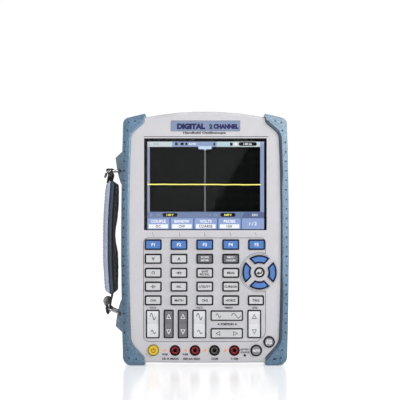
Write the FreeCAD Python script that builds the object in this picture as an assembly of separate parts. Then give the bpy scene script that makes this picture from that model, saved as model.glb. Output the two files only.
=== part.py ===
"""Handheld oscilloscope and multimeter: a two-part case with rubber side guards,
a keypad of separately moving keys, four meter sockets, a hinged stand, a hinged
connector cover and a padded hand strap on two pivoting rings.

Millimetres. +Z up, the front faces -Y. Each piece is written as its own STEP file.
The case is drawn about its own centre line and moved sideways by CASE_X at the end,
so that the whole object, strap included, is centred on the origin.
"""
import FreeCAD
import Part
import math
import os

V = FreeCAD.Vector

# ---------------------------------------------------------------- dimensions
CASE_X = 8.8             # case centre line from the middle of the whole object
CASE_HALF = 75.5         # half width of the plastic case under the guards
CASE_TOP = 248.0         # top of the arc
CASE_TOP_R = 300.0       # radius of the top arc
CASE_BOTTOM = 3.4        # bottom edge at the sides
CASE_BOTTOM_MID = 2.8    # bottom edge at the middle
FRONT_Y = -24.0          # front face of the case
BACK_Y = 24.0            # back face of the case
WALL = 2.5               # case wall
CORNER_TOP = 12.0        # case corners, under the guards
CORNER_BOTTOM = 10.0

GUARD_Y = 26.0           # front and back of the guards
GUARD_MID = 82.0         # half width over the guards at mid height
GUARD_END = 80.0         # the same near the ends
GUARD_GAP = 0.06         # guard to case, glue line

SCREEN_X0, SCREEN_X1 = -58.8, 59.9
SCREEN_Z0, SCREEN_Z1 = 132.5, 221.6
VIEW_X0, VIEW_X1 = -57.3, 58.9
VIEW_Z0, VIEW_Z1 = 133.1, 220.6

KEY_W, KEY_H = 16.6, 9.9          # window of an ordinary key
KEY_F_H = 10.4                    # window of a function key
KEY_GAP = 0.6                     # cap to window, all round
KEY_FRONT = -25.5                 # front of the caps
KEY_LIP = 0.75                    # how far the retaining lip passes the window
LIP_Y0, LIP_Y1 = -20.7, -19.7     # lip of the pressed keys
ROCK_LIP_Y0, ROCK_LIP_Y1 = -20.2, -19.3
MAT_Y0, MAT_Y1 = -17.6, -15.9
BOARD_Y0, BOARD_Y1 = -15.7, -14.1
MAIN_Y0, MAIN_Y1 = -9.6, -8.0

COLS = (-50.5, -25.4, -0.2, 25.1, 50.3)
ROWS = (118.2, 104.4, 90.7, 77.3, 63.9)
NAV = (53.1, 91.2)
NAV_R0, NAV_R1, NAV_GAP = 8.8, 16.9, 4.5
ENTER_R = 5.2

JACK_Z = 15.0
JACK_X = (-29.2, -9.75, 9.25, 28.6)
JACK_BORE_R = 2.0
JACK_BORE_LEN = 18.6

BOSSES = ((-66.0, 44.0), (66.0, 44.0), (-66.0, 210.0), (66.0, 210.0))
BNC_X = (-28.0, 28.0)
BNC_Y = 13.5
SHELF_Z = 229.0

STAND_PIVOT = (21.5, 180.0)       # y, z
STAND_HALF, STAND_TIP = 38.6, 79.0

FLAP_PIVOT = (80.2, 20.6)         # x, y
FLAP_Z0, FLAP_Z1 = 96.0, 146.0

RING_L = 11.2                     # bar to bar
RING_R = 1.2                      # wire radius
EAR_HALF = 13.0
EAR_BORE = 1.3
PIVOT_U = (-83.6, 190.5)          # bar in the upper ear: x, z
PIVOT_L = (-83.6, 50.5)
ANG_U = math.radians(183.0)       # where each ring points at rest
ANG_L = math.radians(156.5)
BAR_U = (PIVOT_U[0] + RING_L * math.cos(ANG_U), PIVOT_U[1] + RING_L * math.sin(ANG_U))
BAR_L = (PIVOT_L[0] + RING_L * math.cos(ANG_L), PIVOT_L[1] + RING_L * math.sin(ANG_L))
PAD_HALF = 21.0


# ---------------------------------------------------------------- helpers
def box(x0, x1, y0, y1, z0, z1):
    return Part.makeBox(x1 - x0, y1 - y0, z1 - z0, V(x0, y0, z0))


def cyl_y(x, z, r, y0, y1):
    return Part.makeCylinder(r, y1 - y0, V(x, y0, z), V(0, 1, 0))


def cyl_x(y, z, r, x0, x1):
    return Part.makeCylinder(r, x1 - x0, V(x0, y, z), V(1, 0, 0))


def cyl_z(x, y, r, z0, z1):
    return Part.makeCylinder(r, z1 - z0, V(x, y, z0), V(0, 0, 1))


def rrect(x0, x1, z0, z1, r):
    """Rounded rectangle face in the XZ plane at y = 0."""
    if r <= 0:
        pts = [V(x0, 0, z0), V(x1, 0, z0), V(x1, 0, z1), V(x0, 0, z1), V(x0, 0, z0)]
        return Part.Face(Part.makePolygon(pts))
    k = r * (1 - math.sqrt(0.5))
    e = [
        Part.LineSegment(V(x0 + r, 0, z0), V(x1 - r, 0, z0)).toShape(),
        Part.Arc(V(x1 - r, 0, z0), V(x1 - k, 0, z0 + k), V(x1, 0, z0 + r)).toShape(),
        Part.LineSegment(V(x1, 0, z0 + r), V(x1, 0, z1 - r)).toShape(),
        Part.Arc(V(x1, 0, z1 - r), V(x1 - k, 0, z1 - k), V(x1 - r, 0, z1)).toShape(),
        Part.LineSegment(V(x1 - r, 0, z1), V(x0 + r, 0, z1)).toShape(),
        Part.Arc(V(x0 + r, 0, z1), V(x0 + k, 0, z1 - k), V(x0, 0, z1 - r)).toShape(),
        Part.LineSegment(V(x0, 0, z1 - r), V(x0, 0, z0 + r)).toShape(),
        Part.Arc(V(x0, 0, z0 + r), V(x0 + k, 0, z0 + k), V(x0 + r, 0, z0)).toShape(),
    ]
    return Part.Face(Part.Wire(e))


def disc(x, z, r):
    c = Part.makeCircle(r, V(x, 0, z), V(0, 1, 0))
    return Part.Face(Part.Wire(c))


def prism(face, y0, y1):
    f = face.copy()
    f.translate(V(0, y0, 0))
    return f.extrude(V(0, y1 - y0, 0))


def plate(x0, x1, z0, z1, r, y0, y1):
    return prism(rrect(x0, x1, z0, z1, r), y0, y1)


def grow(face, d):
    """Face offset outwards by d (inwards when d is negative)."""
    return face.makeOffset2D(d)


def edges_at_y(shape, y, tol=1e-4):
    out = []
    for e in shape.Edges:
        b = e.BoundBox
        if abs(b.YMin - y) < tol and abs(b.YMax - y) < tol:
            out.append(e)
    return out


def soften(shape, y, radii):
    """Fillet the edges that lie in the plane y, with the first radius that works."""
    for r in radii:
        try:
            s = shape.makeFillet(r, edges_at_y(shape, y))
            if s.isValid() and s.Volume > 0.5 * shape.Volume:
                return s
        except Exception:
            pass
    return shape


def one(shape):
    """The single solid of a boolean result, or the shape itself."""
    return shape.Solids[0] if len(shape.Solids) == 1 else shape


def mirror_x(shape):
    return shape.mirror(V(0, 0, 0), V(1, 0, 0))


OUT = {}


def put(name, *shapes):
    solids = []
    for s in shapes:
        solids += s.Solids
    OUT[name] = solids


# ---------------------------------------------------------------- case outline
def top_z(x, lift=0.0):
    return CASE_TOP + lift - (CASE_TOP_R - math.sqrt(CASE_TOP_R ** 2 - x * x))


def line(a, b):
    return Part.LineSegment(V(a[0], 0, a[1]), V(b[0], 0, b[1])).toShape()


def arc(a, m, b):
    return Part.Arc(V(a[0], 0, a[1]), V(m[0], 0, m[1]), V(b[0], 0, b[1])).toShape()


def round_upright(shape, corners):
    """Fillet upright (Y-running) edges: corners is a list of (x, z, radius)."""
    for x, z, r in corners:
        pick = [e for e in shape.Edges
                if abs(e.BoundBox.XMin - x) < 0.02 and abs(e.BoundBox.XMax - x) < 0.02
                and abs(e.BoundBox.ZMin - z) < 0.02 and abs(e.BoundBox.ZMax - z) < 0.02]
        shape = shape.makeFillet(r, pick[:1])
    return shape


def case_prism(d, y0, y1):
    """The case outline grown by d, from y0 to y1."""
    h = CASE_HALF + d
    zt, zb = top_z(h) + d, CASE_BOTTOM - d
    e = [
        arc((-h, zb), (0, CASE_BOTTOM_MID - d), (h, zb)),
        line((h, zb), (h, zt)),
        arc((h, zt), (0, CASE_TOP + d), (-h, zt)),
        line((-h, zt), (-h, zb)),
    ]
    p = prism(Part.Face(Part.Wire(e)), y0, y1)
    return round_upright(p, [(-h, zb, CORNER_BOTTOM + d), (h, zb, CORNER_BOTTOM + d), (-h, zt, CORNER_TOP + d), (h, zt, CORNER_TOP + d)])


# ---------------------------------------------------------------- key layout
# name: (kind, centre x, centre z, window width, window height, corner)
KEYS = {}
for i in range(5):
    KEYS["key_f%d" % (i + 1)] = (COLS[i], ROWS[0], KEY_W, KEY_F_H)
for name, c, r in (
    ("key_volts", 0, 1), ("key_amps", 1, 1), ("key_scope_meter", 2, 1), ("key_menu", 3, 1),
    ("key_ohms", 0, 2), ("key_diode", 1, 2), ("key_save_recall", 2, 2), ("key_measure", 3, 2),
    ("key_capacitance", 0, 3), ("key_relative", 1, 3), ("key_utility", 2, 3), ("key_cursor", 3, 3),
    ("key_ch1", 0, 4), ("key_math", 1, 4), ("key_ch2", 2, 4), ("key_horizontal", 3, 4),
):
    KEYS[name] = (COLS[c], ROWS[r], KEY_W, KEY_H)
KEYS["key_trigger"] = (49.6, ROWS[4], 15.9, KEY_H)

ROCKERS = {                 # centre x, centre z, window width, window height
    "rocker_ch1_scale": (-50.9, 40.8, 13.6, 28.0),
    "rocker_ch1_position": (-35.4, 40.8, 9.9, 28.0),
    "rocker_ch2_position": (-21.5, 40.8, 10.3, 28.0),
    "rocker_ch2_scale": (-5.5, 40.8, 13.7, 28.0),
    "rocker_time_scale": (21.2, 49.0, 31.7, 10.3),
    "rocker_time_position": (21.2, 31.7, 31.7, 10.3),
    "rocker_trigger_level": (48.0, 40.8, 13.6, 27.7),
}
ROUNDS = {
    "power_button": (-50.4, 15.3, 5.6),
    "auto_button": (49.9, 15.0, 5.8),
    "run_stop_button": (62.5, 23.4, 5.7),
}


def nav_face(k, d):
    """Quarter k of the direction ring, grown by d. 0 right, 1 up, 2 left, 3 down."""
    x, z = NAV
    ring = disc(x, z, NAV_R1 + d).cut(disc(x, z, NAV_R0 - d))
    g = NAV_GAP / 2 - d
    a = math.radians(90 * k)
    big = 40.0
    # wedge between the two diagonals, held back from both by half the gap
    tip = g * math.sqrt(2)
    p = [(tip, 0), (tip + big, big), (tip + big, -big)]
    q = [V(x + u * math.cos(a) - v * math.sin(a), 0, z + u * math.sin(a) + v * math.cos(a)) for u, v in p]
    wedge = Part.Face(Part.makePolygon(q + [q[0]]))
    f = ring.common(wedge)
    return f.Faces[0]


# ---------------------------------------------------------------- front shell
front = case_prism(0, FRONT_Y, 0.0)
front = soften(front, FRONT_Y, (2.2, 1.6, 1.0))
front = front.cut(case_prism(-WALL, FRONT_Y + WALL, 1.0))

cuts = []
# screen: recess for the window, then the opening
cuts.append(plate(SCREEN_X0, SCREEN_X1, SCREEN_Z0, SCREEN_Z1, 1.0, FRONT_Y - 1, FRONT_Y + 2.0))
cuts.append(plate(VIEW_X0, VIEW_X1, VIEW_Z0, VIEW_Z1, 0.5, FRONT_Y, FRONT_Y + WALL + 1))
# name plate recess
cuts.append(plate(-33.5, 34.4, 228.6, 239.2, 0.6, FRONT_Y - 1, FRONT_Y + 0.6))
# key windows
for x, z, w, h in KEYS.values():
    cuts.append(plate(x - w / 2, x + w / 2, z - h / 2, z + h / 2, 1.3, FRONT_Y - 1, FRONT_Y + WALL + 1))
for x, z, w, h in ROCKERS.values():
    cuts.append(plate(x - w / 2, x + w / 2, z - h / 2, z + h / 2, 1.2, FRONT_Y - 1, FRONT_Y + WALL + 1))
for x, z, r in ROUNDS.values():
    cuts.append(cyl_y(x, z, r, FRONT_Y - 1, FRONT_Y + WALL + 1))
for k in range(4):
    cuts.append(prism(nav_face(k, 0.0), FRONT_Y - 1, FRONT_Y + WALL + 1))
cuts.append(cyl_y(NAV[0], NAV[1], ENTER_R, FRONT_Y - 1, FRONT_Y + WALL + 1))
# meter sockets and the status lamp
for x in JACK_X:
    cuts.append(cyl_y(x, JACK_Z, 5.3, FRONT_Y - 1, FRONT_Y + WALL + 1))
cuts.append(cyl_y(38.8, 10.3, 1.25, FRONT_Y - 1, FRONT_Y + WALL + 1))

# thin grooves: the line over the screen, and the outline of the key field
cuts.append(plate(-59.8, 61.7, 223.15, 223.7, 0.0, FRONT_Y - 1, FRONT_Y + 0.35))
field = rrect(-60.2, 59.3, 23.5, 125.1, 5.0)
bite = disc(NAV[0], NAV[1], 18.9)
field = field.cut(bite).Faces[0]
# the lower right corner is cut back further, round the run/stop key
corner = Part.Face(Part.makePolygon([V(49.5, 0, 20), V(65, 0, 20), V(65, 0, 36), V(59.3, 0, 33.0), V(57.5, 0, 28.5), V(51.8, 0, 24.3), V(49.5, 0, 20)]))
field = field.cut(corner).Faces[0]
inner = grow(field, -0.55)
groove = prism(field, FRONT_Y - 1, FRONT_Y + 0.4).cut(prism(inner, FRONT_Y - 2, FRONT_Y + 1))
cuts.append(groove)
ring_groove = cyl_y(NAV[0], NAV[1], 18.0, FRONT_Y - 1, FRONT_Y + 0.3).cut(cyl_y(NAV[0], NAV[1], 17.6, FRONT_Y - 2, FRONT_Y + 1))
cuts.append(ring_groove)
front = front.cut(cuts)

# bosses for the case screws, ribs under the window, posts for the boards
adds = []
for x, z in BOSSES:
    adds.append(cyl_y(x, z, 3.6, FRONT_Y + WALL - 0.2, -0.1))
front = front.fuse(adds).removeSplitter()
front = front.cut([cyl_y(x, z, 1.45, -17.0, 1.0) for x, z in BOSSES])
put("front_shell", front)

# ---------------------------------------------------------------- rear shell
rear = case_prism(0, 0.0, BACK_Y)
rear = soften(rear, BACK_Y, (2.2, 1.6, 1.0))
hollow = case_prism(-WALL, -1.0, BACK_Y - WALL)
shelf = box(-50, 50, 3.0, 40, SHELF_Z, 260)
keep = [
    box(-52.5, 52.5, 0.6, 40, SHELF_Z - WALL, 260),                       # walls of the shelf
    box(-43.5, 43.5, 16.8, 40, 69.0, 186.0),                              # under the stand
    box(-54.5, 54.5, 3.2, 40, 7.6, 72.6),                                 # battery bay
]
hollow = hollow.cut(keep)
rear = rear.cut(hollow)
BAY = (-44.0, 44.0, 14.0, 66.0)
cuts = [
    shelf,
    box(-39.4, 39.4, 19.4, 40, 77.9, 182.6),                              # stand recess
    box(-10.0, 10.0, 19.4, 40, 70.9, 78.5),                               # finger notch under its tip
    box(BAY[0], BAY[1], 4.8, 40, BAY[2], BAY[3]),                         # battery bay
    box(-52.2, 52.2, 21.3, 40, 9.8, 70.2),                                # battery door seat
    cyl_x(STAND_PIVOT[0], STAND_PIVOT[1], 1.5, -41.9, 41.9),              # stand pivots
]
for x in (-47.9, 47.9):
    cuts.append(cyl_y(x, 40.0, 1.25, 12.0, 22.0))                         # door screw threads
for x in BNC_X:
    cuts.append(cyl_z(x, BNC_Y, 4.95, SHELF_Z - 5, SHELF_Z + 1))
for i in range(8):                                                        # vents
    x = -35.0 + 10.0 * i
    cuts.append(plate(x - 1.4, x + 1.4, 193.0, 219.0, 1.35, 15.0, 40.0))
# opening for the side connectors
cuts.append(box(70.0, 90.0, 5.0, 18.0, 101.0, 141.0))
rear = rear.cut(cuts)
adds = []
for x, z in BOSSES:
    adds.append(cyl_y(x, z, 4.4, 0.1, BACK_Y - WALL + 0.2))
rear = rear.fuse(adds).removeSplitter()
cuts = []
for x, z in BOSSES:
    cuts.append(cyl_y(x, z, 1.7, -1, 30))
    cuts.append(cyl_y(x, z, 3.2, 20.6, 30))
rear = rear.cut(cuts)
put("rear_shell", rear)

# ---------------------------------------------------------------- side guards
def spline(pts):
    c = Part.BSplineCurve()
    c.interpolate([V(x, 0, z) for x, z in pts])
    return c.toShape()


def guard_body():
    """One side guard before the case is taken out of it (left hand).

    The outside comes from an envelope round the whole case with well rounded
    front and back edges, the inner line from the guard's own outline."""
    top = (-50.0, 248.35)
    c0, c1 = (-80.1, 0.0), (-80.0, 241.1)
    m0, m1 = (80.1, 0.0), (80.0, 241.1)
    e = [
        line((80.1, 0.0), (-80.1, 0.0)),
        arc(c0, (-GUARD_MID, 121.0), c1),
        line(c1, top),
        line(top, (50.0, 248.35)),
        line((50.0, 248.35), m1),
        arc(m1, (GUARD_MID, 121.0), m0),
    ]
    env = prism(Part.Face(Part.Wire(e)), -GUARD_Y, GUARD_Y)
    env = round_upright(env, [(-80.1, 0.0, 8.5), (80.1, 0.0, 8.5), (-80.0, 241.1, 6.8), (80.0, 241.1, 6.8), (-50.0, 248.35, 20.0), (50.0, 248.35, 20.0)])
    for y in (-GUARD_Y, GUARD_Y):
        env = env.makeFillet(6.4, edges_at_y(env, y))
    p = [(-100.0, -12.0), (-58.8, -0.35), (-58.8, 8.4), (-71.8, 23.0), (-71.7, 226.2), (-58.6, 237.3), (-58.6, 246.8), (-100.0, 262.0)]
    e = [arc(a, (-73.9, 128.0), b) if a == (-71.8, 23.0) else line(a, b) for a, b in zip(p, p[1:] + p[:1])]
    body = prism(Part.Face(Part.Wire(e)), -GUARD_Y, GUARD_Y)
    body = round_upright(body, [(-58.8, -0.35, 2.4), (-58.8, 8.4, 3.5), (-71.8, 23.0, 14.0), (-71.7, 226.2, 12.0), (-58.6, 237.3, 5.0), (-58.6, 246.8, 2.4), (-100.0, -12.0, 3.0), (-100.0, 262.0, 3.0)])
    for y in (-GUARD_Y, GUARD_Y):
        body = body.makeFillet(1.8, edges_at_y(body, y))
    return one(body.common(env))


guard = guard_body()
case_block = case_prism(GUARD_GAP, FRONT_Y - GUARD_GAP, BACK_Y + GUARD_GAP)
guard = one(guard.cut(case_block))


def bite(shape, spots, r, y0, y1):
    """Round pits cut one at a time, each nudged a little if the cut does not come out sound."""
    for x, z in spots:
        for nudge in (0.0, 0.05, -0.07, 0.11):
            cut = shape.cut(cyl_y(x + nudge, z + nudge / 2, r, y0, y1))
            if cut.isValid() and len(cut.Solids) == 1 and cut.Volume < shape.Volume:
                shape = cut.Solids[0]
                break
    return shape


# small round pits along the front shoulder and at the ends
PITCH = 9.27
side_pits = []
for i in range(21):
    z = 32.6 + PITCH * i
    side_pits.append((-(78.3 + 1.3 * (1 - ((z - 121.0) / 100.0) ** 2)), z))
end_pits = [(-74.4, 237.4), (-68.3, 238.6), (-75.4, 229.4), (-75.2, 15.6), (-74.0, 7.6), (-67.0, 6.6)]
grip_ribs = [(-77.6, 60.0 + PITCH * i) for i in range(14)]


def texture(shape, side):
    """Pits and the shallow grip dimples of the back shoulder on one guard; side is 1 left, -1 right."""
    def flip(spots):
        return [(side * x, z) for x, z in spots]
    shape = bite(shape, flip(side_pits), 0.75, -GUARD_Y - 1, -23.0)
    shape = bite(shape, flip(end_pits), 0.8, -GUARD_Y - 1, -GUARD_Y + 1.0)
    return bite(shape, flip(grip_ribs), 1.6, GUARD_Y - 1.1, GUARD_Y + 1)


ear_u = [(-79.0, 210.6), (-80.9, 209.4), (-87.7, 203.0), (-87.0, 197.5), (-86.3, 193.0), (-85.8, 189.5), (-84.4, 184.0), (-82.8, 178.5), (-79.0, 173.5)]
ear_l = [(x, 241.0 - z) for x, z in ear_u]


def ear(pts, z):
    p = [V(a, 0, b) for a, b in pts]
    s = prism(Part.Face(Part.makePolygon(p + [p[0]])), -EAR_HALF, EAR_HALF)
    s = soften(s, -EAR_HALF, (1.2, 0.8, 0.5))
    s = soften(s, EAR_HALF, (1.2, 0.8, 0.5))
    return s


left = guard.fuse([ear(ear_u, 0), ear(ear_l, 0)])
left = one(left.cut(case_block))
left = left.cut([
    cyl_y(PIVOT_U[0], PIVOT_U[1], EAR_BORE, -20, 20),
    cyl_y(PIVOT_L[0], PIVOT_L[1], EAR_BORE, -20, 20),
])
left = texture(one(left), 1)
put("left_bumper", one(left))

right = mirror_x(guard)
fx, fy = FLAP_PIVOT
right = right.cut([
    box(78.7, 90, 1.7, 22.9, FLAP_Z0 - 0.4, FLAP_Z1 + 0.4),
    box(74.0, 90, 5.0, 18.0, 101.0, 141.0),
    cyl_z(fx, fy, 1.0, FLAP_Z0 - 2.4, FLAP_Z1 + 2.4),
    box(79.5, 90, -3.6, 2.0, 114.4, 127.6),
])
right = texture(one(right), -1)
put("right_bumper", one(right))

# ---------------------------------------------------------------- side connector flap
flap = box(79.2, 81.5, 2.1, fy, FLAP_Z0, FLAP_Z1)
flap = flap.fuse(cyl_z(fx, fy, 1.3, FLAP_Z0, FLAP_Z1))
flap = flap.fuse(box(79.9, 81.2, 0.4, 2.2, 115.0, 127.0))
flap = flap.removeSplitter()
flap = flap.fuse(cyl_z(fx, fy, 0.9, FLAP_Z0 - 2.0, FLAP_Z1 + 2.0)).removeSplitter()
put("port_flap", one(flap))

# the connectors behind it: bus host, bus device, supply socket, on one small board
sock = []
usb_a = box(66.0, 76.8, 8.6, 14.4, 124.6, 137.8).cut(box(69.0, 80, 9.2, 13.8, 125.2, 137.2))
usb_a_tongue = box(68.0, 76.0, 11.6, 13.2, 126.2, 136.2)
usb_b = box(66.0, 76.8, 6.4, 16.8, 111.2, 122.4).cut(box(68.5, 80, 7.5, 15.7, 112.4, 121.2))
usb_b_tongue = box(67.5, 75.8, 10.4, 12.8, 114.2, 119.4)
dc = Part.makeCylinder(4.0, 10.8, V(66.0, 11.5, 106.0), V(1, 0, 0)).cut(Part.makeCylinder(2.9, 8.5, V(69.0, 11.5, 106.0), V(1, 0, 0)))
dc_pin = Part.makeCylinder(1.0, 8.0, V(68.0, 11.5, 106.0), V(1, 0, 0))
port_board = box(60.0, 65.9, 5.0, 6.3, 100.0, 140.0).fuse(box(64.3, 65.9, 5.0, 18.0, 100.0, 140.0)).removeSplitter()
put("port_sockets", usb_a, usb_a_tongue.cut(usb_a), usb_b, usb_b_tongue.cut(usb_b), dc, dc_pin.cut(dc), port_board)

# ---------------------------------------------------------------- display
put("screen_window", plate(SCREEN_X0 + 0.12, SCREEN_X1 - 0.12, SCREEN_Z0 + 0.12, SCREEN_Z1 - 0.12, 0.9, FRONT_Y + 0.3, FRONT_Y + 1.9))
lcd = plate(-61.4, 62.0, 127.4, 224.6, 1.5, -21.3, -14.4)
panel_cut = box(VIEW_X0 - 0.3, VIEW_X1 + 0.3, -22, -20.9, VIEW_Z0 - 0.3, VIEW_Z1 + 0.3)
lcd = lcd.cut(panel_cut)
cable = box(-12, 12, -14.4, -12.6, 132.0, 168.0)
put("lcd_module", lcd, box(-30, 30, -14.3, -12.9, 172.0, 216.0), cable)
np_ = plate(-33.3, 34.2, 228.8, 239.0, 0.5, FRONT_Y - 0.25, FRONT_Y + 0.55)
put("name_plate", soften(np_, FRONT_Y - 0.25, (0.15,)))

# ---------------------------------------------------------------- keys
def cap_and_lip(face_cap, face_lip, lip0, lip1, r_soft, front_y=KEY_FRONT):
    cap = prism(face_cap, front_y, lip0 + 0.1)
    cap = soften(cap, front_y, r_soft)
    lip = prism(face_lip, lip0, lip1)
    return one(cap.fuse(lip).removeSplitter())


for name, (x, z, w, h) in KEYS.items():
    cw, ch = w / 2 - KEY_GAP, h / 2 - KEY_GAP
    lw, lh = w / 2 + KEY_LIP, h / 2 + KEY_LIP
    put(name, cap_and_lip(rrect(x - cw, x + cw, z - ch, z + ch, 1.0), rrect(x - lw, x + lw, z - lh, z + lh, 1.0), LIP_Y0, LIP_Y1, (0.7, 0.5, 0.3)))

for name, (x, z, w, h) in ROCKERS.items():
    g = 0.75
    cw, ch = w / 2 - g, h / 2 - g
    lw, lh = w / 2 + 0.6, h / 2 + 0.6
    key = cap_and_lip(rrect(x - cw, x + cw, z - ch, z + ch, 1.0), rrect(x - lw, x + lw, z - lh, z + lh, 1.0), ROCK_LIP_Y0, ROCK_LIP_Y1, (0.8, 0.6, 0.4))
    # shallow finger dish in the middle, where the key tips, inside a flat margin
    if h > w:
        dish = cyl_x(KEY_FRONT - 45.6, z, 46.0, x - cw + 1.3, x + cw - 1.3)
    else:
        dish = Part.makeCylinder(46.0, 2 * ch - 2.6, V(x, KEY_FRONT - 45.6, z - ch + 1.3), V(0, 0, 1))
    key = one(key.cut(dish))
    put(name, key)

for k, name in enumerate(("nav_right", "nav_up", "nav_left", "nav_down")):
    put(name, cap_and_lip(nav_face(k, -KEY_GAP), nav_face(k, 0.65), LIP_Y0, LIP_Y1, (0.7, 0.5, 0.3)))
put("nav_enter", cap_and_lip(disc(NAV[0], NAV[1], ENTER_R - 0.5), disc(NAV[0], NAV[1], ENTER_R + 0.7), LIP_Y0, LIP_Y1, (0.8, 0.5)))
for name, (x, z, r) in ROUNDS.items():
    put(name, cap_and_lip(disc(x, z, r - 0.5), disc(x, z, r + 0.7), LIP_Y0, LIP_Y1, (1.1, 0.8, 0.5), KEY_FRONT - 0.3))

# ---------------------------------------------------------------- keypad mat and board
def pad_face(x0, x1, z0, z1):
    return rrect(x0, x1, z0, z1, 2.0)


mat = prism(pad_face(-61.8, 71.0, 8.0, 125.6), MAT_Y0, MAT_Y1)
board = prism(pad_face(-61.8, 71.0, 8.0, 125.6), BOARD_Y0, BOARD_Y1)
notch = [cyl_y(x, z, 4.4, -30, 0) for x, z in BOSSES[:2]]
for x in JACK_X:
    notch.append(cyl_y(x, JACK_Z, 6.2, -30, 0))
mat = mat.cut(notch + [cyl_y(38.8, 10.3, 1.8, -30, 0)])
# the bottom corners follow the round of the case
trim = case_prism(-WALL - 0.5, -30, 0)
mat = mat.common(trim)
board = board.cut(notch).common(trim)
# raised domes of the mat, one under each key, below the travel of its lip
domes = []
for x, z, w, h in KEYS.values():
    domes.append(Part.makeCone(3.4, 2.8, 0.45, V(x, MAT_Y0 + 0.05, z), V(0, -1, 0)))
for x, z, r in ROUNDS.values():
    domes.append(Part.makeCone(3.4, 2.8, 0.45, V(x, MAT_Y0 + 0.05, z), V(0, -1, 0)))
mat = mat.fuse(domes)
put("keypad_mat", one(mat))
lamp = cyl_y(38.8, 10.3, 1.05, -23.6, BOARD_Y0)
put("keypad_board", one(board), lamp, box(-20, 20, BOARD_Y1, BOARD_Y1 + 1.6, 108, 113))

# ---------------------------------------------------------------- main board
main = plate(-60.0, 60.0, 8.5, 222.0, 2.0, MAIN_Y0, MAIN_Y1)
main = main.cut([cyl_y(x, JACK_Z, 6.0, -20, 0) for x in JACK_X])
cans = []
for x0, x1, z0, z1, hgt in ((-52, -8, 176, 216, 6.0), (8, 52, 176, 216, 6.0), (-50, -16, 96, 130, 4.0)):
    cans.append(plate(x0, x1, z0, z1, 1.0, MAIN_Y1, MAIN_Y1 + hgt))
chips = []
for x, z, s, hgt in ((10, 140, 24, 1.8), (38, 150, 14, 1.4), (20, 105, 18, 1.6), (44, 112, 10, 2.2), (-34, 150, 16, 1.6), (-4, 156, 8, 1.2)):
    chips.append(plate(x - s / 2, x + s / 2, z - s / 2, z + s / 2, 0.3, MAIN_Y1, MAIN_Y1 + hgt))
caps = [cyl_y(x, z, 4.0, MAIN_Y1, -0.5) for x, z in ((-48, 80), (-38, 80), (48, 84), (-48, 60))]
put("main_board", one(main), *(cans + chips + caps))

# ---------------------------------------------------------------- meter sockets
housings, contacts = [], []
for x in JACK_X:
    body = cyl_y(x, JACK_Z, 5.1, FRONT_Y - 0.5, -3.0)
    body = soften(body, FRONT_Y - 0.5, (0.4,))
    flange = cyl_y(x, JACK_Z, 6.0, FRONT_Y + WALL + 0.1, FRONT_Y + WALL + 1.4)
    body = body.fuse(flange).removeSplitter()
    # the ring gap that takes the plug's shroud
    gap = cyl_y(x, JACK_Z, 3.9, FRONT_Y - 2, -9.0).cut(cyl_y(x, JACK_Z, 3.35, FRONT_Y - 3, -8.0))
    body = body.cut([gap, cyl_y(x, JACK_Z, 2.62, FRONT_Y - 2, -3.6), cyl_y(x, JACK_Z, 0.85, -5, 0)])
    # the inner sleeve sits a little behind the collar
    body = body.cut(cyl_y(x, JACK_Z, 3.9, FRONT_Y - 2, FRONT_Y + 0.3))
    housings.append(one(body))
    c = cyl_y(x, JACK_Z, 2.6, FRONT_Y + 0.9, -3.7)
    c = c.cut(cyl_y(x, JACK_Z, JACK_BORE_R, FRONT_Y - 2, FRONT_Y + 0.9 + JACK_BORE_LEN))
    c = c.fuse(cyl_y(x, JACK_Z, 0.8, -3.8, -1.0)).removeSplitter()
    contacts.append(one(c))
put("jack_housings", *housings)
put("jack_contacts", *contacts)

# ---------------------------------------------------------------- coaxial inputs
bncs = []
for x in BNC_X:
    b = cyl_z(x, BNC_Y, 4.85, 219.0, 243.0)
    nut = []
    for z0, z1, r in ((SHELF_Z + 0.05, SHELF_Z + 2.3, 7.2), (SHELF_Z - WALL - 2.1, SHELF_Z - WALL - 0.05, 6.8)):
        pts = [V(x + r * math.cos(math.radians(60 * i + 30)), BNC_Y + r * math.sin(math.radians(60 * i + 30)), z0) for i in range(6)]
        nut.append(Part.Face(Part.makePolygon(pts + [pts[0]])).extrude(V(0, 0, z1 - z0)))
    lugs = [
        Part.makeCylinder(1.0, 11.4, V(x - 5.7, BNC_Y, 237.0), V(1, 0, 0)),
    ]
    b = b.fuse(nut + lugs).removeSplitter()
    b = b.cut(cyl_z(x, BNC_Y, 4.05, 232.5, 250))
    pin_ins = cyl_z(x, BNC_Y, 2.4, 232.5, 240.5).cut(cyl_z(x, BNC_Y, 0.7, 234.0, 250))
    b = b.fuse(pin_ins).removeSplitter()
    bncs.append(one(b))
put("bnc_jacks", *bncs)

# ---------------------------------------------------------------- battery
pack = plate(BAY[0] + 1.0, BAY[1] - 1.0, BAY[2] + 1.0, BAY[3] - 1.0, 3.0, 5.2, 20.4)
put("battery_pack", pack)
door = plate(-51.9, 51.9, 10.1, 69.9, 1.5, 21.35, BACK_Y)
door = soften(door, BACK_Y, (0.5, 0.3))
door = door.cut([cyl_y(x, 40.0, 1.7, 10, 30) for x in (-47.9, 47.9)] + [cyl_y(x, 40.0, 3.1, 22.6, 30) for x in (-47.9, 47.9)])
ribs = [box(-20.0, 20.0, 23.5, 25, z, z + 1.2) for z in (24.0, 27.0, 30.0, 33.0, 36.0)]
door = door.cut(ribs)
put("battery_door", one(door))

# ---------------------------------------------------------------- screws
screws = []


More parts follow.
